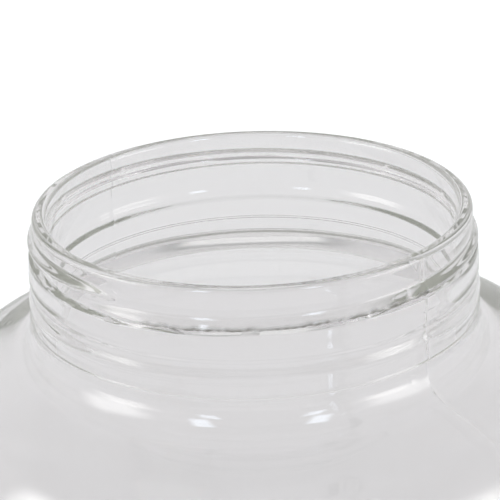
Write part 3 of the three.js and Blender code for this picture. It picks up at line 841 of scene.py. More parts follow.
class DISPENSER_OT_jar(bpy.types.Operator):
    """Make the glass jar with its thread, bead, mould seam, tap pad and slow waves"""

    bl_idname = "dispenser.jar"
    bl_label = "Glass jar"

    def execute(self, context):
        jar = context.scene.dispenser_jar
        outside, threaded, inside = jar_outlines(jar)
        angles = jar_angles(jar)
        following = np.append(angles[1:], angles[0] + TURN)
        fine = (angles[:, None] + (following - angles)[:, None] * [0, 1 / 3, 2 / 3]).ravel()
        wall = self.wall(jar, outside, angles, OUTER_WAVES, True)
        rim = self.wall(jar, threaded, fine, OUTER_WAVES, True)
        hollow = self.wall(jar, inside, angles, 1.0, False)
        outer = threaded[:, :1] > jar.neck_radius - jar.neck_wall / 2
        depth = jar.height - rim[..., 2]
        # The torn edge's mask raises the lip below and, as the rough_edge attribute, carries a painted dark
        # shade in the glass
        edge = torn_and_shaded_edge(jar, fine[None], depth) * outer
        thread = jar.thread_height * thread_share(jar, fine[None], depth, THREAD_LIP)
        bead = bead_form(depth) * bead_edge(jar, fine[None], depth)
        relief = (thread + bead) * outer + jar.rough_edge * edge
        rim[..., 0] += relief * np.sin(fine)
        rim[..., 1] -= relief * np.cos(fine)
        tap = SHANK_AXIS[2]
        on_wall = np.isclose(outside[:, 0], jar.body_radius, atol=1e-6)
        outer_row = int(np.argmin(np.abs(outside[:, 1] - tap) + ~on_wall))
        in_wall = np.isclose(inside[:, 0], jar.body_radius - jar.wall, atol=1e-6)
        inner_row = int(np.argmin(np.abs(inside[:, 1] - tap) + ~in_wall))
        pad = GASKET_HIGH[1] + FACE_GAP
        shift = PATCH_CELLS
        grids = []
        for grid, row, radius, face in (
            (wall, outer_row, jar.body_radius, pad),
            (hollow, inner_row, jar.body_radius - jar.wall, jar.wall - jar.body_radius + INNER_PAD_PROUD),
        ):
            grid = np.roll(grid, -shift, axis=1)
            tapped(grid, row, radius, face)
            grids.append(grid)
        wall, hollow = grids
        rim = np.roll(rim, -3 * shift, axis=1)
        edge = np.roll(edge, -3 * shift, axis=1)
        piece = self.closed(wall, rim, hollow, outer_row, inner_row, edge)
        settle(piece, "jar", "clear_glass")
        return {"FINISHED"}

    def wall(self, jar, outline, angles, share, seamed):
        """Turned grid with slow waves along its normals and, outside, the mould seam."""
        normals = normals_of(outline)
        r, z = outline[:, :1], outline[:, 1:]
        lift = share * jar.waviness * waves(angles[None], z) * soft_step(r, *WAVE_START)
        lift = lift * (1 - soft_step(z - jar.height, *CALM_RIM) * RIM_CALM)
        if seamed:
            lift = lift + seam_relief(jar, angles[None], r, z)
        lift = lift * soft_step(z, *CALM_FOOT)
        grid = turned_grid(outline, angles)
        grid[..., 0] += lift * normals[:, :1] * np.sin(angles)
        grid[..., 1] -= lift * normals[:, :1] * np.cos(angles)
        grid[..., 2] += lift * normals[:, 1:]
        return grid

    def closed(self, wall, rim, hollow, outer_row, inner_row, edge):
        """One closed mesh of the outer wall, the threaded rim, the inner wall and the tap's hole."""
        grids = (wall, rim, hollow)
        starts = np.cumsum([0, *(grid[..., 0].size for grid in grids)])
        ids = [start + grid_ids(grid) for start, grid in zip(starts, grids)]
        ids[0][0] = ids[0][0, 0]
        ids[2][-1] = ids[2][-1, 0]
        quads = []
        for part, row in zip(ids, (outer_row, None, inner_row)):
            beside = np.roll(part, -1, axis=1)
            cells = np.stack([part[:-1], beside[:-1], beside[1:], part[1:]], axis=-1)
            kept = np.ones(cells.shape[:2], bool)
            if row is not None:
                span = np.arange(-HOLE_CELLS, HOLE_CELLS)
                kept[np.ix_(row + span, span)] = False
            quads.append(cells[kept])
        quads.append(fan(ids[0][-1], ids[1][0]))
        quads.append(fan(ids[2][0], ids[1][-1])[:, ::-1])
        outer = hole_ring(ids[0], outer_row, 1)
        inner = hole_ring(ids[2], inner_row, -1)
        quads.append(np.stack([outer, np.roll(outer, -1), np.roll(inner, -1), inner], axis=1))
        points = np.concatenate([grid.reshape(-1, 3) for grid in grids])
        # The torn edge's mask goes to the glass as rough_edge, for its roughness and its painted dark shade
        torn = np.zeros(len(points))
        torn[starts[1]:starts[2]] = edge.ravel()
        return mesh_object("glass_jar", points, np.concatenate(quads), {"rough_edge": torn})


# Tap: where its outlines turn, in the frame's sizes
FLANGE_THICKNESS = 4 * MM
FLARE_RUN = 4.5 * MM
SEAT_FLOOR = 4 * MM
SPOUT_WALL = 2.2 * MM
SPOUT_ROOT_WALL = 3.4 * MM
EDGE_FILLET = 1.2 * MM
LIP_FILLET = 0.6 * MM
OVERCUT = 5 * MM
SCREW_ROW = 0.3 * MM
TURNED_ROW = 2 * MM


class DISPENSER_OT_tap(bpy.types.Operator):
    """Make the tap's casting: threaded shank, flange, flared arm, barrel and spout"""

    bl_idname = "dispenser.tap"
    bl_label = "Tap body"

    def execute(self, context):
        tap = context.scene.dispenser_tap
        seat = box("seat_cup")[0][2] - FACE_GAP
        barrel_low = seat - SEAT_FLOOR
        barrel_top = box("bonnet_seal")[0][2] - FACE_GAP
        spout_low = TAP_LOW[2]
        spout_lip = tap.spout_radius + SPOUT_WALL
        spout_root = tap.spout_radius + SPOUT_ROOT_WALL
        barrel = turned("barrel", spaced(arc_outline([
            (0, spout_low),
            (spout_lip, spout_low, LIP_FILLET),
            (spout_root, barrel_low, LIP_FILLET),
            (tap.barrel_radius, barrel_low, EDGE_FILLET),
            (tap.barrel_radius, barrel_top, LIP_FILLET / 2),
            (0, barrel_top),
        ]), TURNED_ROW), centre=VALVE_AXIS, ring=False)
        cavity = turned("cavity", arc_outline([
            (0, spout_low - OVERCUT),
            (tap.spout_radius, spout_low - OVERCUT),
            (tap.spout_radius, seat, LIP_FILLET),
            (tap.chamber_radius, seat),
            (tap.chamber_radius, barrel_top + OVERCUT),
            (0, barrel_top + OVERCUT),
        ]), centre=VALVE_AXIS, ring=False)
        valve, end = VALVE_AXIS[1], TAP_HIGH[1]
        inlet = turned("inlet", np.array([
            (0, valve), (tap.inlet_radius, valve), (tap.inlet_radius, end + OVERCUT), (0, end + OVERCUT)
        ]), "Y", SHANK_AXIS, ring=False)
        piece = carved(self.arm(tap, valve, end), [barrel], [inlet, cavity])
        piece.name = "tap_casting"
        settle(piece, "tap_body", "polished_steel")
        return {"FINISHED"}

    def arm(self, tap, valve, end):
        """Arm, flange and shank turned about Y.

        The arm's radius grows by flare (1 - d / run)^2, with d the distance to the barrel's round side,
        and half as much above as below.
        The shank's radius shrinks by depth (1 - cos(2 pi y / pitch + a)) / 2.
        """
        back = GASKET_LOW[1] - FACE_GAP
        front = back - FLANGE_THICKNESS
        flange = TAP_HIGH[0]
        screw = box("inner_gasket")[1][1]
        outline = spaced(arc_outline([
            (0, valve),
            (tap.arm_radius, valve),
            (tap.arm_radius, front, 2 * LIP_FILLET),
            (flange, front, EDGE_FILLET),
            (flange, back, LIP_FILLET / 2),
            (tap.shank_radius, back),
            (tap.shank_radius, end, EDGE_FILLET),
            (0, end),
        ]), SCREW_ROW)

        def shaped(angles, r, y):
            beside = tap.arm_radius * np.sin(angles)
            away = y - valve - np.sqrt(tap.barrel_radius**2 - beside**2)
            less_above = 0.75 - 0.25 * np.cos(angles)
            flare = np.clip(1 - away / FLARE_RUN, 0, 1) ** 2 * less_above
            groove = 0.5 - 0.5 * np.cos(TURN * y / tap.shank_pitch + angles)
            on_arm = np.isclose(r, tap.arm_radius, atol=1e-6) & (y < front)
            on_shank = soft_step(y, screw, screw + tap.shank_pitch) * (r > tap.inlet_radius + LIP_FILLET)
            return r + tap.arm_flare * flare * on_arm - tap.shank_thread * groove * on_shank

        return turned("arm", outline, "Y", SHANK_AXIS, False, shape=shaped)


# Seals, washers and nut: their rounded edges
GASKET_FILLET = 0.7 * MM
GASKET_BULGE = 0.35 * MM
SEAL_FILLET = 0.4 * MM
WASHER_FILLET = 0.35 * MM
PLATE_FILLET = 0.25 * MM
NUT_CHAMFER = 0.5 * MM
NUT_ROWS = 25
NUT_STEPS = 144


class DISPENSER_OT_seals(bpy.types.Operator):
    """Make the soft pieces: two gaskets, the bonnet's seal and the seat cup"""

    bl_idname = "dispenser.seals"
    bl_label = "Seals"

    def execute(self, context):
        tap = context.scene.dispenser_tap
        shank_hole = tap.shank_radius + BORE_CLEARANCE
        for node in ("outer_gasket", "inner_gasket"):
            low, high = box(node)
            outline = ring_outline(shank_hole, high[0], low[1], high[1], GASKET_FILLET, GASKET_BULGE)
            settle(turned(f"{node}_ring", outline, "Y", SHANK_AXIS), node, "milky_silicone")
        low, high = box("bonnet_seal")
        outline = ring_outline(tap.chamber_radius, high[0], low[2], high[2], SEAL_FILLET)
        settle(turned("bonnet_seal_ring", outline, centre=VALVE_AXIS), "bonnet_seal", "milky_silicone")
        low, high = box("seat_cup")
        stem_hole = tap.stem_radius + BORE_CLEARANCE
        foot = box("valve_stem")
        pocket = foot[1][0] + BORE_CLEARANCE
        pocket_low = foot[0][2] - BORE_CLEARANCE
        pocket_high = pocket_low + MUSHROOM + 2 * BORE_CLEARANCE
        cup = turned("seat_plug", arc_outline([
            (0, low[2]),
            (high[0], low[2], EDGE_FILLET),
            (high[0], high[2], LIP_FILLET),
            (stem_hole, high[2], LIP_FILLET / 2),
            (stem_hole, pocket_high),
            (pocket, pocket_high),
            (pocket, pocket_low),
            (0, pocket_low),
        ]), centre=VALVE_AXIS, ring=False)
        settle(cup, "seat_cup", "milky_silicone")
        return {"FINISHED"}


class DISPENSER_OT_fasteners(bpy.types.Operator):
    """Make the washer and the hexagon nut that hold the shank inside the jar"""

    bl_idname = "dispenser.fasteners"
    bl_label = "Shank fasteners"

    def execute(self, context):
        tap = context.scene.dispenser_tap
        hole = tap.shank_radius + BORE_CLEARANCE
        low, high = box("clamp_washer")
        outline = ring_outline(hole, high[0], low[1], high[1], WASHER_FILLET)
        settle(turned("shank_washer", outline, "Y", SHANK_AXIS), "clamp_washer", "polished_steel")
        settle(self.nut(hole), "shank_nut", "polished_steel")
        return {"FINISHED"}

    def nut(self, hole):
        """Radius: the hexagon's flat / cos(angle from the flat's middle), cut by a cone at each face."""
        low, high = box("shank_nut")
        corner = high[0]
        flat = corner * math.cos(TURN / 12)
        start, end = low[1], high[1]
        sides = [(corner, y) for y in np.linspace(start, end, NUT_ROWS)]
        outline = np.array([
            (hole, start + NUT_CHAMFER), (hole + NUT_CHAMFER, start), (flat - NUT_CHAMFER, start), *sides,
            (flat - NUT_CHAMFER, end), (hole + NUT_CHAMFER, end), (hole, end - NUT_CHAMFER),
        ])

        def six_sided(angles, r, y):
            hexagon = flat / np.cos((angles + TURN / 12) % (TURN / 6) - TURN / 12)
            cone = flat + math.sqrt(3) * np.minimum(y - start, end - y)
            return np.where(r > flat, np.minimum(hexagon, cone), r + 0 * angles)

        return turned("hexagon_nut", outline, "Y", SHANK_AXIS, steps=NUT_STEPS, shape=six_sided)


# Valve: the stem's foot, the spring's wire and the ends of the bonnet's grooves
MUSHROOM = 1.6 * MM
SPRING_END_GAP = 0.6 * MM
KNURL_FOOT = (1 * MM, 1.8 * MM)
KNURL_HEAD = (2.2 * MM, 3 * MM)
KNURL_STEPS = 8
BONNET_ROW = 0.6 * MM
WIRE_SIDES = 14
CURL_STEPS = 40


class DISPENSER_OT_valve(bpy.types.Operator):
    """Make the valve: knurled bonnet, spring with its washer and the stem"""

    bl_idname = "dispenser.valve"
    bl_label = "Valve"

    def execute(self, context):
        tap = context.scene.dispenser_tap
        stem_hole = tap.stem_radius + BORE_CLEARANCE
        settle(self.bonnet(tap, stem_hole), "bonnet", "polished_steel")
        low, high = box("spring_washer")
        outline = ring_outline(stem_hole, high[0], low[2], high[2], PLATE_FILLET)
        settle(turned("spring_plate", outline, centre=VALVE_AXIS), "spring_washer", "polished_steel")
        spring = self.spring(tap)
        settle(spring, "valve_spring", "spring_wire")
        low, high = box("valve_spring")
        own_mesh(spring)
        settle(self.stem(tap), "valve_stem", "polished_steel")
        return {"FINISHED"}

    def bonnet(self, tap, stem_hole):
        """Cap with a skirt; its grooves cut the radius by depth (1 + cos(knurls a))^2 / 4."""
        low, high = BONNET_LOW[2], BONNET_HIGH[2]
        roof = box("bonnet_seal")[1][2] + FACE_GAP
        inner = tap.barrel_radius + BORE_CLEARANCE
        outer = BONNET_HIGH[0]
        outline = spaced(arc_outline([
            (stem_hole, roof),
            (inner, roof, LIP_FILLET),
            (inner, low + LIP_FILLET / 2),
            (inner + LIP_FILLET / 2, low),
            (outer, low, LIP_FILLET),
            (outer, high, EDGE_FILLET),
            (stem_hole + LIP_FILLET / 2, high),
            (stem_hole, high - LIP_FILLET / 2),
        ]), BONNET_ROW)

        def knurled(angles, r, z):
            groove = (0.5 + 0.5 * np.cos(tap.knurls * angles)) ** 2
            band = soft_step(z - low, *KNURL_FOOT) * soft_step(high - z, *KNURL_HEAD)
            return r - tap.knurl_depth * groove * band * (r > inner + LIP_FILLET)

        steps = KNURL_STEPS * tap.knurls
        return turned("knurled_bonnet", outline, centre=VALVE_AXIS, steps=steps, shape=knurled)

    def spring(self, tap):
        """Wire along a helix whose first and last curl lie close; each ring of points faces along it."""
        low, high = box("valve_spring")
        wire = tap.wire_radius
        middle = high[0] - wire
        curls = np.linspace(0, tap.spring_curls, tap.spring_curls * CURL_STEPS + 1)
        rise = high[2] - low[2] - 2 * wire
        close = 2 * wire + SPRING_END_GAP
        pitch = (rise - 2 * close) / (tap.spring_curls - 2)
        marks = [0, 1, tap.spring_curls - 1, tap.spring_curls]
        z = low[2] + wire + np.interp(curls, marks, [0, close, close + pitch * (tap.spring_curls - 2), rise])
        turn = TURN * curls
        outward = np.stack([np.cos(turn), np.sin(turn), 0 * turn], axis=1)
        path = VALVE_AXIS * [1, 1, 0] + middle * outward + z[:, None] * [0, 0, 1]
        tangent = np.gradient(path, axis=0)
        tangent /= np.linalg.norm(tangent, axis=1, keepdims=True)
        across = np.cross(tangent, outward)
        around = round_angles(WIRE_SIDES)[None, :, None]
        rings = path[:, None] + wire * (np.cos(around) * outward[:, None] + np.sin(around) * across[:, None])
        ends = path[[0, -1], None].repeat(WIRE_SIDES, 1)
        grid = np.concatenate([ends[:1], rings, ends[1:]])
        return round_object("coil_spring", grid, False)

    def stem(self, tap):
        """Round stem with a mushroom foot and a cross hole for the lever's pin."""
        low, high = box("valve_stem")
        foot = high[0]
        stem = turned("round_stem", spaced(arc_outline([
            (0, low[2]),
            (foot, low[2], LIP_FILLET),
            (foot, low[2] + MUSHROOM, LIP_FILLET / 2),
            (tap.stem_radius, low[2] + MUSHROOM),
            (tap.stem_radius, high[2], LIP_FILLET),
            (0, high[2]),
        ]), TURNED_ROW), centre=VALVE_AXIS, ring=False)
        return carved(stem, removed=[cross_rod("hole", PIN_RADIUS + BORE_CLEARANCE, foot + OVERCUT)])


# Lever: its outline about the pin, as y and z, its bar and grip, and the fineness of each
LEVER_LIFT = 6 * MM
LEVER_TILT = math.radians(75)
PIN_RADIUS = 1.2 * MM
FOOT_BACK = 4.6 * MM
STOP_FLAT = 2 * MM
CROWN_HALF_DEPTH = 6 * MM
CROWN_THICKNESS = 4.5 * MM
CROWN_TOP = 11.408 * MM
CHEEK_SLOT = 3.6 * MM
CAM_STEPS = 30
BAR_RADIUS = 3.2 * MM
BAR_FLARE = 1.4 * MM
BAR_LENGTH = 20 * MM
TANG_STEP = 0.8 * MM
TANG_LENGTH = 22 * MM
GRIP_ROOT_LIP = 1.4 * MM
GRIP_TAPER_LENGTH = 28 * MM
GRIP_WAIST_FILLET = 10 * MM
GRIP_END_FILLET = 6.5 * MM
CHEEK_ROW = 0.7 * MM
GRIP_ROW = 1.5 * MM
CURVE_POINTS = 9
EDGE_POINTS = 6
ROD_STEPS = 48
BAR_STEPS = 64
GRIP_STEPS = 72


def cross_rod(name, radius, half, dome=0.0):
    """Rod along X through the lever's pin, its ends domed."""
    rod = arc_outline([(0, -half), (radius, dome - half), (radius, half - dome), (0, half)])
    if dome:
        turn = np.linspace(0, 1, CURVE_POINTS) * TURN / 4
        end = np.stack([radius * np.sin(turn), half - dome * (1 - np.cos(turn))], axis=1)
        rod = np.vstack([end * [1, -1], end[::-1]])
    return turned(name, rod, "X", PIN_AXIS, ring=False, steps=ROD_STEPS)


class DISPENSER_OT_lever(bpy.types.Operator):
    """Make the lever with its cam cheeks, its pin and its grip"""

    bl_idname = "dispenser.lever"
    bl_label = "Lever"

    def execute(self, context):
        tap = context.scene.dispenser_tap
        half = box("lever")[1][0]
        top = PIN_AXIS[2] + CROWN_TOP
        bar_top = top + BAR_LENGTH
        tang = BAR_RADIUS - TANG_STEP
        rise = np.linspace(0, 1, CURVE_POINTS)
        flare = np.stack([BAR_RADIUS + BAR_FLARE * (1 - rise) ** 2, top + 2 * BAR_FLARE * rise], axis=1)
        bar = turned("bar", np.vstack([
            [(0, top - CROWN_THICKNESS / 2), (BAR_RADIUS + BAR_FLARE, top - CROWN_THICKNESS / 2)],
            flare,
            [(BAR_RADIUS, bar_top), (tang, bar_top)],
            [(tang, bar_top + TANG_LENGTH), (0, bar_top + TANG_LENGTH)],
        ]), centre=VALVE_AXIS, ring=False, steps=BAR_STEPS)
        hole = cross_rod("hole", PIN_RADIUS + BORE_CLEARANCE, half + OVERCUT)
        lever = carved(self.cheeks(tap, half), [bar], [self.slot(top), hole])
        settle(lever, "lever", "polished_steel")
        pin = cross_rod("cross_pin", PIN_RADIUS, box("lever_pin")[1][0], PIN_RADIUS / 3)
        settle(pin, "lever_pin", "polished_steel")
        settle(self.grip(tang), "lever_grip", "black_grip")
        return {"FINISHED"}

    def cheeks(self, tap, half):
        """Block of the cam's outline carried along X, with rounded edges.

        The cam bears on the bonnet the same way ahead of the pin at each tilt t, and lifts by lift t / tilt:
        its point is (-lift / tilt, foot - lift t / tilt) turned back by t.
        """
        tilt = np.linspace(0, LEVER_TILT, CAM_STEPS)
        ahead = -LEVER_LIFT / LEVER_TILT
        foot = BONNET_HIGH[2] + FACE_GAP - PIN_AXIS[2]
        down = foot + ahead * tilt
        cam = np.stack([
            ahead * np.cos(tilt) + down * np.sin(tilt), down * np.cos(tilt) - ahead * np.sin(tilt)
        ], axis=1)
        stop = cam[-1] + STOP_FLAT * np.array([-math.cos(LEVER_TILT), math.sin(LEVER_TILT)])
        side = arc_outline([
            (FOOT_BACK, foot, LIP_FILLET),
            *(tuple(point) for point in cam),
            (*stop, EDGE_FILLET),
            (-CROWN_HALF_DEPTH, CROWN_TOP, EDGE_FILLET),
            (CROWN_HALF_DEPTH, CROWN_TOP, EDGE_FILLET),
            (CROWN_HALF_DEPTH, 0, 2 * EDGE_FILLET),
        ])
        side = spaced(np.vstack([side, side[:1]]), CHEEK_ROW)[:-1]
        tangent = np.roll(side, -1, axis=0) - np.roll(side, 1, axis=0)
        tangent /= np.linalg.norm(tangent, axis=1, keepdims=True)
        inward = np.stack([tangent[:, 1], -tangent[:, 0]], axis=1)
        middle = side.mean(axis=0)
        inward *= np.sign(np.sum(inward * (middle - side)))
        turn = np.linspace(0, TURN / 4, EDGE_POINTS)
        round_edge = tap.lever_edge * (1 - np.cos(turn))
        inset = tap.lever_edge * (1 - np.sin(np.concatenate([turn, turn[::-1]])))
        rows = side[None] + inset[:, None, None] * inward
        rows = np.concatenate([middle + 0 * rows[:1], rows, middle + 0 * rows[:1]])
        x = np.concatenate([[-half], round_edge - half, half - round_edge[::-1], [half]])
        x = np.broadcast_to(x[:, None, None], (*rows.shape[:2], 1))
        grid = np.concatenate([x, rows + PIN_AXIS[1:]], axis=2)
        return round_object("cam_lever", grid, False)

    def slot(self, top):
        """Block taken away between the cheeks, open below."""
        deep = 4 * CROWN_TOP
        low = PIN_AXIS + [-CHEEK_SLOT, -deep, -deep]
        high = np.array([CHEEK_SLOT, PIN_AXIS[1] + deep, top - CROWN_THICKNESS])
        corners = np.array(np.meshgrid([0, 1], [0, 1], [0, 1], indexing="ij")).reshape(3, -1).T
        quads = np.array([(0, 1, 3, 2), (4, 6, 7, 5), (0, 4, 5, 1), (2, 3, 7, 6), (0, 2, 6, 4), (1, 5, 7, 3)])
        return mesh_object("slot", low + corners * (high - low), quads)

    def grip(self, tang):
        """Drop-shaped grip, turned, with the tang's blind bore."""
        low, high = box("lever_grip")
        bore = tang + BORE_CLEARANCE
        bore_top = low[2] - FACE_GAP + TANG_LENGTH + BORE_CLEARANCE
        return turned("drop_grip", spaced(arc_outline([
            (bore, low[2]),
            (BAR_RADIUS + GRIP_ROOT_LIP, low[2], LIP_FILLET),
            (high[0], low[2] + GRIP_TAPER_LENGTH, GRIP_WAIST_FILLET),
            (high[0], high[2], GRIP_END_FILLET),
            (0, high[2]),
            (0, bore_top),
            (bore, bore_top),
        ]), GRIP_ROW), centre=VALVE_AXIS, steps=GRIP_STEPS)


# Lid: its fit on the thread, its curl (degrees from and to, points) and its liner
LID_CLEARANCE = 0.6 * MM
LID_CORNER = 2.4 * MM
LID_CURL = 0.9 * MM
LID_PANEL_EDGE = 6 * MM
LID_PANEL_STEP = 0.3 * MM
LID_CURL_TURN = (-65, 125, 14)
LID_ROW = 0.7 * MM
LID_STEPS = 288
LINER_FILLET = 0.3 * MM
LINER_ROWS = 150
LINER_STEPS = 192
LINER_RIM = (1 * MM, 3 * MM)


class DISPENSER_OT_lid(bpy.types.Operator):
    """Make the screw lid: rolled sheet with a curled edge, and its ribbed liner"""

    bl_idname = "dispenser.lid"
    bl_label = "Lid"

    def execute(self, context):
        jar, lid = context.scene.dispenser_jar, context.scene.dispenser_lid
        settle(self.shell(jar, lid), "lid_shell", "rolled_tinplate")
        settle(self.liner(lid), "lid_liner", "milky_silicone")
        return {"FINISHED"}

    def shell(self, jar, lid):
        """Sheet turned about Z; the thread is rolled in along the jar's helix, half a pitch off its ridge."""
        inner = jar.neck_radius + jar.thread_height + LID_CLEARANCE
        outer = inner + lid.sheet
        high = LID_HIGH[2]
        curl_low = high - 2 * LID_CURL
        rim = box("lid_liner")[1][2]
        turn = np.radians(np.linspace(*LID_CURL_TURN))
        curl = np.stack([outer + LID_CURL * np.cos(turn), high - LID_CURL + LID_CURL * np.sin(turn)], axis=1)
        panel = outer - LID_PANEL_EDGE
        below = arc_outline([
            (0, LID_PANEL_STEP),
            (panel, LID_PANEL_STEP, MM),
            (panel + 2 * LID_PANEL_STEP, 0, MM),
            (outer, 0, LID_CORNER),
            (outer, curl_low),
        ])
        above = arc_outline([
            (inner, high - LID_CURL),
            (inner, lid.sheet, LID_CORNER - lid.sheet),
            (0, lid.sheet),
        ])
        outline = np.vstack([spaced(below, LID_ROW), curl, spaced(above, LID_ROW)])

        def rolled(angles, r, z):
            share = thread_share(jar, -angles, z - rim - jar.thread_pitch / 2, jar.thread_width / 2)
            return r - lid.roll * share * (r > jar.neck_radius) * soft_step(curl_low - z, 0, MM)

        return turned("rolled_lid", outline, centre=LID_AXIS, ring=False, steps=LID_STEPS, shape=rolled)

    def liner(self, lid):
        """Disc with rings pressed into its upper face: depth (1 - cos(2 pi r / spacing)) / 2."""
        low, high = box("lid_liner")
        radius = (high[0] - low[0]) / 2
        edge = arc_outline([
            (0, low[2]),
            (radius, low[2], LINER_FILLET),
            (radius, high[2], LINER_FILLET),
            (radius - LINER_RIM[0], high[2]),
        ])
        r = np.linspace(radius - LINER_RIM[0], 0, LINER_ROWS)[1:]
        fade = soft_step(radius - r, *LINER_RIM)
        ribs = high[2] - lid.rib_height * fade * (0.5 - 0.5 * np.cos(TURN * r / lid.rib_spacing))
        outline = np.vstack([edge, np.stack([r, ribs], axis=1)])
        return turned("ribbed_liner", outline, centre=LID_AXIS, ring=False, steps=LINER_STEPS)


# View: the photograph's frame, its focal length and the rim's middle, in pixels
PICTURE_PIXELS = 500
FOCAL_PIXELS = 1752.3
RIM_PIXEL = (251.55, 200.57)

# Surround: its colour, then how it changes towards the camera and upwards (two values, and where they hold)
SURROUND = (0.82, 0.815, 0.82)
FRONT_RANGE = (1.0, 0.6, 0.5, 0.98)
HEIGHT_RANGE = (1.0, 0.52, 0.45, 0.75)

# Floor: how pale it is to the glass and to the eye, and the light under the jar, from the middle to its edge
FLOOR_TO_GLASS = 0.70
FLOOR_TO_EYE = 0.95
FLOOR_RINGS = 24
GATHERED_LIGHT = 0.74
GATHERED_SHARE = 0.7

OVERHEAD_SPREAD = math.radians(80)

# How often light may bounce, so that it finds its way out of the glass
GLASS_BOUNCES = 96
SHADOW_BOUNCES = 32

# Soft panels: angle from the camera, height angle, half width, half height, softness, colour, strength
PANELS = (
    (-29, 33, 0.07, 0.17, 0.04, (0.78, 0.88, 1.0), 6.5),
    (31, 33, 0.07, 0.17, 0.04, (0.78, 0.88, 1.0), 6.5),
    (-74, 21, 0.26, 0.23, 0.14, (1.0, 1.0, 0.98), 4.4),
    (71, 12, 0.26, 0.2, 0.14, (1.0, 1.0, 0.98), 3.8),
    (180, 56, 0.9, 0.12, 0.1, (1.0, 1.0, 1.0), 0.2),
)


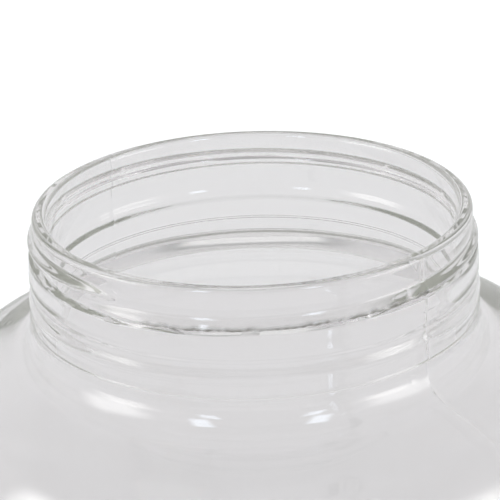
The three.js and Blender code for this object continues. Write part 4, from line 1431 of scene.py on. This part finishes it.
class DISPENSER_OT_stage(bpy.types.Operator):
    """Lay the pale floor, light the studio and set up the camera"""

    bl_idname = "dispenser.stage"
    bl_label = "Stage"

    def execute(self, context):
        stage = context.scene.dispenser_stage
        self.floor(stage)
        self.light(context.scene, stage)
        self.overhead(stage)
        self.camera(context.scene, stage)
        context.scene.view_settings.view_transform = "Standard"
        cycles = context.scene.cycles
        cycles.max_bounces = cycles.transmission_bounces = cycles.glossy_bounces = GLASS_BOUNCES
        cycles.transparent_max_bounces = SHADOW_BOUNCES
        cycles.caustics_refractive = cycles.caustics_reflective = False
        return {"FINISHED"}

    def floor(self, stage):
        """Round floor: rings of growing radius; paler to the eye than to the glass above it.

        Under the jar it glows towards the glass, in place of the light that clear glass lets through.
        """
        radii = stage.floor_radius * np.linspace(0, 1, FLOOR_RINGS) ** 2
        grid = turned_grid(np.stack([radii, 0 * radii], axis=1), round_angles(ROUND_STEPS))
        ids = grid_ids(grid)
        ids[0] = ids[0, 0]
        floor = mesh_object("floor", grid.reshape(-1, 3), grid_quads(np.hstack([ids, ids[:, :1]])))
        pale = Finish("pale_floor")
        eye = pale.node("ShaderNodeLightPath").outputs["Is Camera Ray"]
        away = pale.measure("LENGTH", pale.node("ShaderNodeTexCoord").outputs["Object"])
        radius = float(JAR_HIGH[0])
        glow = pale.spread(away, GATHERED_LIGHT, 0.0, GATHERED_SHARE * radius, radius)
        pale.set(
            Base_Color=pale.tint(eye, shade(stage.floor, FLOOR_TO_GLASS), shade(stage.floor, FLOOR_TO_EYE)),
            Roughness=0.9,
            Specular_IOR_Level=0.0,
            Emission_Color=(1, 1, 1, 1),
            Emission_Strength=pale.number("MULTIPLY", glow, pale.number("SUBTRACT", 1.0, eye)),
        )
        pale.material.cycles.emission_sampling = "NONE"
        floor.data.materials.append(pale.material)

    def light(self, scene, stage):
        """Studio round the object: a pale surround, darker in front and overhead, with soft panels in it."""
        scene.world = bpy.data.worlds.new("studio")
        scene.world.use_nodes = True
        studio = Nodes(scene.world.node_tree)
        studio.nodes.clear()
        direction = studio.node("ShaderNodeTexCoord").outputs["Generated"]

        def towards(vector):
            return studio.measure("DOT_PRODUCT", direction, vector)

        front = towards((math.sin(stage.azimuth), -math.cos(stage.azimuth), 0))
        base = studio.number(
            "MULTIPLY",
            studio.spread(front, *FRONT_RANGE, "SMOOTHSTEP"),
            studio.spread(towards((0, 0, 1)), *HEIGHT_RANGE, "SMOOTHSTEP"),
        )
        light = studio.vector("MULTIPLY", SURROUND, base)
        path = studio.node("ShaderNodeLightPath")
        once = studio.number("COMPARE", path.outputs["Glossy Depth"], 1.0, 0.5)
        unbent = studio.number("SUBTRACT", 1.0, path.outputs["Is Transmission Ray"])
        reflected = studio.number("MAXIMUM", once, unbent)
        for azimuth, elevation, half_width, half_height, soft, rgb, strength in PANELS:
            turn = stage.azimuth + math.radians(azimuth)
            rise = math.radians(elevation)
            out = math.cos(rise)
            ahead = Vector((math.sin(turn) * out, -math.cos(turn) * out, math.sin(rise)))
            right = Vector((math.cos(turn), math.sin(turn), 0))
            facing = towards(ahead)
            mask = studio.number("MULTIPLY", reflected, studio.number("GREATER_THAN", facing, 0.0))
            for across, half in ((right, half_width), (right.cross(ahead), half_height)):
                offset = studio.number("ABSOLUTE", studio.number("DIVIDE", towards(across), facing))
                side = studio.spread(offset, 1.0, 0.0, max(half - soft, 0), half + soft, "SMOOTHSTEP")
                mask = studio.number("MULTIPLY", mask, side)
            light = studio.vector("ADD", light, studio.vector("MULTIPLY", [strength * c for c in rgb], mask))
        seen = studio.node("ShaderNodeMix", data_type="RGBA")
        seen.inputs["B"].default_value = (1, 1, 1, 1)
        studio.join(path.outputs["Is Camera Ray"], seen.inputs["Factor"])
        studio.join(light, seen.inputs["A"])
        background = studio.node("ShaderNodeBackground")
        studio.join(seen.outputs["Result"], background.inputs["Color"])
        output = studio.node("ShaderNodeOutputWorld")
        studio.join(background.outputs["Background"], output.inputs["Surface"])

    def overhead(self, stage):
        """Broad soft light from above for the floor and the dull pieces, unseen in glass and metal."""
        data = bpy.data.lights.new("overhead", "SUN")
        data.energy = stage.overhead
        data.angle = OVERHEAD_SPREAD
        lamp = linked(bpy.data.objects.new("overhead", data))
        lamp.visible_glossy = False
        lamp.visible_transmission = False

    def camera(self, scene, stage):
        """Camera at the photograph's angle, turned so that the rim's middle falls where it does there."""
        data = bpy.data.cameras.new("camera")
        data.lens = data.sensor_width * FOCAL_PIXELS / PICTURE_PIXELS
        data.clip_start = 0.01
        camera = linked(bpy.data.objects.new("camera", data))
        pan = math.atan((RIM_PIXEL[0] - PICTURE_PIXELS / 2) / FOCAL_PIXELS)
        tilt = math.atan((PICTURE_PIXELS / 2 - RIM_PIXEL[1]) / FOCAL_PIXELS)
        towards_rim = (
            Matrix.Rotation(stage.azimuth, 4, "Z")
            @ Matrix.Rotation(math.pi / 2 - stage.elevation, 4, "X")
        )
        eye = Vector((0, 0, JAR_HIGH[2])) + towards_rim @ Vector((0, 0, stage.distance))
        turn = (
            towards_rim
            @ Matrix.Rotation(stage.roll, 4, "Z")
            @ Matrix.Rotation(-tilt, 4, "X")
            @ Matrix.Rotation(pan, 4, "Y")
        )
        camera.matrix_world = Matrix.Translation(eye) @ turn
        scene.camera = camera


class DISPENSER_PT_pieces(bpy.types.Panel):
    """Lists the pieces and their sizes"""

    bl_idname = "DISPENSER_PT_pieces"
    bl_label = "Glass beverage dispenser"
    bl_space_type = "VIEW_3D"
    bl_region_type = "UI"
    bl_category = "Dispenser"

    def draw(self, context):
        for operator in OPERATORS:
            self.layout.operator(operator.bl_idname)
        for group in SETTINGS:
            for name in SETTINGS[group].__annotations__:
                self.layout.prop(getattr(context.scene, group), name)


OPERATORS = (
    DISPENSER_OT_jar,
    DISPENSER_OT_tap,
    DISPENSER_OT_seals,
    DISPENSER_OT_fasteners,
    DISPENSER_OT_valve,
    DISPENSER_OT_lever,
    DISPENSER_OT_lid,
    DISPENSER_OT_stage,
)
SETTINGS = {
    "dispenser_jar": JarSizes,
    "dispenser_tap": TapSizes,
    "dispenser_lid": LidSizes,
    "dispenser_finishes": Finishes,
    "dispenser_stage": StageSizes,
}


def register():
    for name, group in SETTINGS.items():
        bpy.utils.register_class(group)
        setattr(bpy.types.Scene, name, PointerProperty(type=group))
    for part in (*OPERATORS, DISPENSER_PT_pieces):
        bpy.utils.register_class(part)


def unregister():
    for part in (DISPENSER_PT_pieces, *reversed(OPERATORS)):
        bpy.utils.unregister_class(part)
    for name, group in SETTINGS.items():
        delattr(bpy.types.Scene, name)
        bpy.utils.unregister_class(group)


def main():
    register()
    bpy.ops.dispenser.jar()
    bpy.ops.dispenser.tap()
    bpy.ops.dispenser.seals()
    bpy.ops.dispenser.fasteners()
    bpy.ops.dispenser.valve()
    bpy.ops.dispenser.lever()
    bpy.ops.dispenser.lid()
    bpy.ops.dispenser.stage()


if __name__ == "__main__":
    main()
